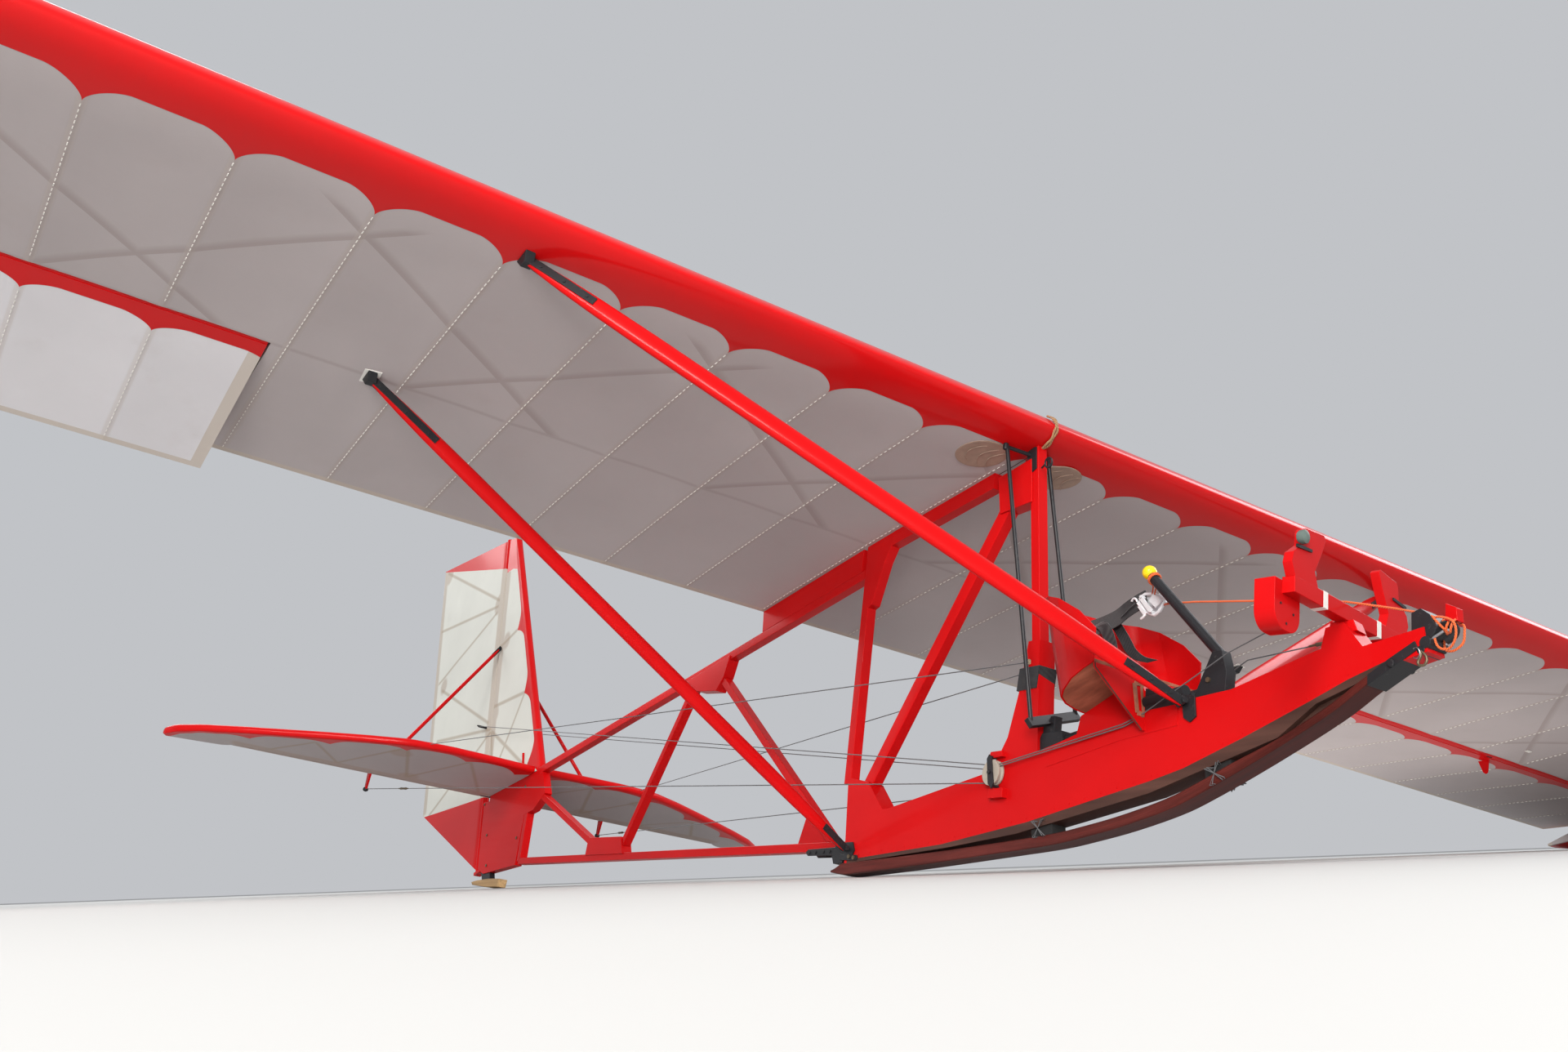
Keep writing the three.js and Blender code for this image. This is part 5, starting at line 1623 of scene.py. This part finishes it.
class SAILPLANE_OT_nose_gear(bpy.types.Operator):
    """Adds the orange tie, its windings on the hook and the release ring."""
    bl_idname = "sailplane.nose_gear"
    bl_label = "Nose gear"

    def execute(self, context):
        cord = sizes().cord_radius
        tie = Shape()
        bent = smooth_line([(0.262, 0.034, 0.604), (0.290, 0.018, 0.598), (0.384, 0.010, 0.584)], 4)
        tie.tube(bent + [(0.534, 0.002, 0.557), (0.700, 0.002, 0.529), (0.830, 0.0, 0.502),
                         (0.950, 0.0, 0.466), (1.025, -0.010, 0.440), (1.050, -0.020, 0.427),
                         (1.068, -0.016, 0.404), (1.074, 0.0, 0.392)], cord, 8)
        chance = random.Random(7)
        for y in (-0.014, 0.014):
            spread = chance.uniform(0.9, 1.1)
            tie.cord([(1.050, y, 0.427), (1.072, y * 1.3, 0.422), (1.094, y * 1.3, 0.411),
                      (1.099, y, 0.394), (1.096, y * spread, 0.372), (1.080, y * 0.6, 0.358),
                      (1.062, y * 0.7, 0.360), (1.054, y, 0.372), (1.052, y * 1.2, 0.395),
                      (1.050, y, 0.427)], cord, 8)
        for x, tilt in ((1.078, 0.1), (1.085, 0.3)):
            tie.ring((x, 0.0, 0.404), (0.8, tilt, -0.3), 0.0155, cord, 18, 6)
        for lean in (-0.1, 0.12):
            tie.ring((0.257 + lean * 0.02, 0.0, 0.665 - lean * 0.02), (-0.7, lean, 0.7), 0.0155, cord,
                     18, 6)
        for tail in ([(0.252, 0.014, 0.660), (0.232, 0.024, 0.664), (0.220, 0.034, 0.652),
                      (0.208, 0.044, 0.646)],
                     [(0.256, 0.012, 0.656), (0.240, 0.026, 0.656), (0.226, 0.036, 0.646),
                      (0.216, 0.044, 0.640)]):
            tie.cord(tail, cord * 0.7, 6)
        tie.make("orange_tie", "orange")
        hook = Shape()
        hook.plate(0.0, [(1.006, 0.372), (1.006, 0.440), (1.027, 0.447), (1.048, 0.431), (1.064, 0.400),
                         (1.047, 0.377), (1.026, 0.360)], 0.050)
        hook.cord([(1.044, 0, 0.400), (1.060, 0, 0.410), (1.078, 0, 0.410), (1.089, 0, 0.399),
                   (1.084, 0, 0.385), (1.068, 0, 0.377)], 0.0085, 12)
        hook.pin(1.040, 0.372, -0.030, 0.030, 0.013, 14)
        hook.pin(1.030, 0.358, -0.030, 0.030, 0.009, 14)
        hook.plate(0, [(1.025, 0.360), (0.978, 0.336), (0.905, 0.299), (0.905, 0.322), (0.958, 0.350),
                       (1.017, 0.378)], 0.062)
        hook.pin(0.964, 0.338, -0.036, 0.036, 0.008, 12)
        hook.make("nose_hook_forged", "black", bevel=0.0012, instead_of=("nose_hook",))
        rings = Shape()
        rings.ring((1.020, -0.030, 0.352), (0.3, 1, 0.2), 0.011, 0.0011, 20, 6)
        rings.tube([(1.047, -0.018, 0.381), (1.072, -0.014, 0.394)], 0.0035, 8)
        rings.make("release_ring", "steel")
        clip = [(1.030, 0.355), (1.040, 0.345), (1.043, 0.334), (1.037, 0.325), (1.026, 0.326),
                (1.023, 0.334), (1.029, 0.344), (1.030, 0.355)]
        Shape().cord([(x, -0.028, z) for x, z in clip], 0.0030, 8, 3).make("release_clip", "brass")
        block = Shape().plate(0.006, [(1.069, 0.418), (1.097, 0.414), (1.095, 0.442), (1.070, 0.456)],
                              0.022)
        block.make("nose_block", "red", bevel=0.0015)
        return {"FINISHED"}


class SAILPLANE_OT_foot_controls(bpy.types.Operator):
    """Builds the rudder bar with its foot boards, heel rests, one toe stop and tapes."""
    bl_idname = "sailplane.foot_controls"
    bl_label = "Foot controls"

    def execute(self, context):
        turned = (BODY @ Matrix.Translation((0.830, 0, 0.470))
                  @ Matrix.Rotation(math.radians(10), 4, "Z"))
        bar = Shape(turned)
        bar.plate(0, [(-0.015, -0.018), (0.015, -0.018), (0.015, 0.018), (-0.015, 0.018)], 0.480)
        bar.plate(0, [(-0.032, -0.042), (0.036, -0.042), (0.026, -0.016), (-0.026, -0.016)], 0.040)
        bar.make("rudder_bar_shaped", "red", bevel=0.0015, instead_of=("rudder_bar",))
        face = [(0.240, 0.016), (0.254, 0.044), (0.247, 0.068), (0.210, 0.095), (0.206, 0.126),
                (0.199, 0.134), (0.124, 0.142), (0.116, 0.134), (0.132, 0.099), (0.160, 0.049),
                (0.146, 0.016)]
        turns = [math.pi / 2 * k / 8 for k in range(9)]
        rest = [(0.268, 0.012)]
        rest += [(0.228 + 0.040 * math.cos(t), -0.054 - 0.040 * math.sin(t)) for t in turns]
        rest += [(0.208 - 0.040 * math.sin(t), -0.054 - 0.040 * math.cos(t)) for t in turns]
        rest.append((0.168, 0.012))
        irons = Shape(turned)
        for name, side in SIDES:
            board = Shape(turned)
            board.prism([(0.004, side * y, z) for y, z in face], ALONG, 0.022)
            board.prism([(-0.038, side * y, z) for y, z in rest], ALONG, 0.048)
            board.make(f"foot_board_{name}", "red", bevel=0.0015, instead_of=(f"pedal_{name}",))
            irons.prism([(0.0165, side * y, z) for y, z in ((0.238, 0.080), (0.178, 0.086),
                                                            (0.178, 0.092), (0.238, 0.087))], ALONG,
                        0.004)
            for y, z in ((0.245, -0.040), (0.195, -0.052), (0.222, -0.078)):
                irons.tube([(-0.016, side * y, z), (-0.0125, side * y, z)], 0.0028, 8)
        irons.make("foot_board_irons", "black")
        stop = Shape(turned)
        stop.lathe((0.016, -0.222, 0.106), ALONG, [(-0.004, 0.012), (0.001, 0.015), (0.012, 0.015),
                                                   (0.015, 0.011), (0.017, 0.005)], 12)
        stop.make("toe_stop", "stop", sharp=40)
        bands = Shape(turned)
        bands.plates(0.116, [(-0.0156, -0.0186), (0.0156, -0.0186), (0.0156, 0.0186),
                             (-0.0156, 0.0186)], 0.018)
        bands.make("bar_tapes", "tape_white")
        return {"FINISHED"}


class SAILPLANE_OT_hull_irons(bpy.types.Operator):
    """Adds cable wheels with their cages, the rear clamp, its straps and a gusset."""
    bl_idname = "sailplane.hull_irons"
    bl_label = "Hull irons"

    def execute(self, context):
        wheels, cages, lugs, clamp = Shape(), Shape(), Shape(), Shape()
        for side in (-1, 1):
            wheels.lathe((-0.262, side * 0.0300, 0.203), (0, side, 0),
                         [(0.0, 0.012), (0.001, 0.035), (0.005, 0.035), (0.010, 0.027), (0.015, 0.035),
                          (0.019, 0.035), (0.020, 0.030), (0.017, 0.012)], 32)
            for x, z in ((-0.268, 0.246), (-0.249, 0.166)):
                cages.pin(x, z, side * 0.028, side * 0.0525, 0.004, 8)
            cages.pin(-0.262, 0.203, side * 0.026, side * 0.058, 0.006, 10)
            for x in (-1.148, -1.113, -1.069, -1.034):
                clamp.pin(x, 0.022, side * 0.019, side * 0.024, 0.0052, 10)
        cages.plates(0.0525, [(-0.276, 0.240), (-0.268, 0.252), (-0.257, 0.244), (-0.250, 0.205),
                              (-0.241, 0.172), (-0.248, 0.158), (-0.264, 0.172), (-0.270, 0.205)],
                     0.004)
        lugs.plates(0.034, [(-0.285, 0.243), (-0.228, 0.246), (-0.232, 0.262), (-0.278, 0.262)], 0.014)
        lugs.plates(0.036, [(-0.270, 0.134), (-0.212, 0.134), (-0.214, 0.160), (-0.270, 0.160)], 0.018)
        clamp.plates(0.0195, [(-1.164, 0.017), (-1.168, 0.024), (-1.158, 0.032), (-1.000, 0.034),
                              (-1.000, 0.010), (-1.156, 0.012)], 0.004)
        clamp.plates(0.0300, [(-0.960, 0.010), (-0.960, -0.008), (-0.874, -0.011), (-0.868, -0.004),
                              (-0.874, 0.005)], 0.005)
        clamp.plate(0, [(-1.008, 0.006), (-0.996, -0.018), (-0.950, -0.016), (-0.938, 0.010),
                        (-0.952, 0.044), (-0.986, 0.047)], 0.060)
        wheels.make("cable_wheels", "fibre", instead_of=("cable_pulleys",), sharp=40)
        cages.make("wheel_cages", "black", bevel=0.0006)
        lugs.make("wheel_lugs", "red", bevel=0.0010)
        clamp.make("rear_clamp", "black", bevel=0.0008)
        gusset = Shape().plate(0, [(-1.252, 0.036), (-1.206, 0.160), (-1.160, 0.150), (-1.015, 0.036)],
                               0.014)
        gusset.make("boom_gusset", "red", bevel=0.0010)
        return {"FINISHED"}


class SAILPLANE_PT_panel(bpy.types.Panel):
    bl_label = "Training Sailplane"
    bl_space_type = "VIEW_3D"
    bl_region_type = "UI"
    bl_category = "Sailplane"

    def draw(self, context):
        for group in (context.scene.sailplane_sizes, context.scene.sailplane_colours):
            for key in group.bl_rna.properties.keys():
                if key not in {"rna_type", "name"}:
                    self.layout.prop(group, key)
        for operator in OPERATORS:
            self.layout.operator(operator.bl_idname)


OPERATORS = [
    SAILPLANE_OT_stage, SAILPLANE_OT_finishes, SAILPLANE_OT_wings, SAILPLANE_OT_tail,
    SAILPLANE_OT_struts, SAILPLANE_OT_skid, SAILPLANE_OT_stitching, SAILPLANE_OT_wing_fittings,
    SAILPLANE_OT_timber_fastenings, SAILPLANE_OT_rigging, SAILPLANE_OT_seat_and_harness,
    SAILPLANE_OT_nose_gear, SAILPLANE_OT_foot_controls, SAILPLANE_OT_hull_irons,
]
CLASSES = [SailplaneSizes, SailplaneColours, *OPERATORS, SAILPLANE_PT_panel]


def register():
    for item in CLASSES:
        bpy.utils.register_class(item)
    bpy.types.Scene.sailplane_sizes = bpy.props.PointerProperty(type=SailplaneSizes)
    bpy.types.Scene.sailplane_colours = bpy.props.PointerProperty(type=SailplaneColours)


def unregister():
    del bpy.types.Scene.sailplane_sizes
    del bpy.types.Scene.sailplane_colours
    for item in reversed(CLASSES):
        bpy.utils.unregister_class(item)


def main():
    register()
    make_materials()
    for operator in OPERATORS:
        group, name = operator.bl_idname.split(".")
        getattr(getattr(bpy.ops, group), name)()


if __name__ == "__main__":
    main()
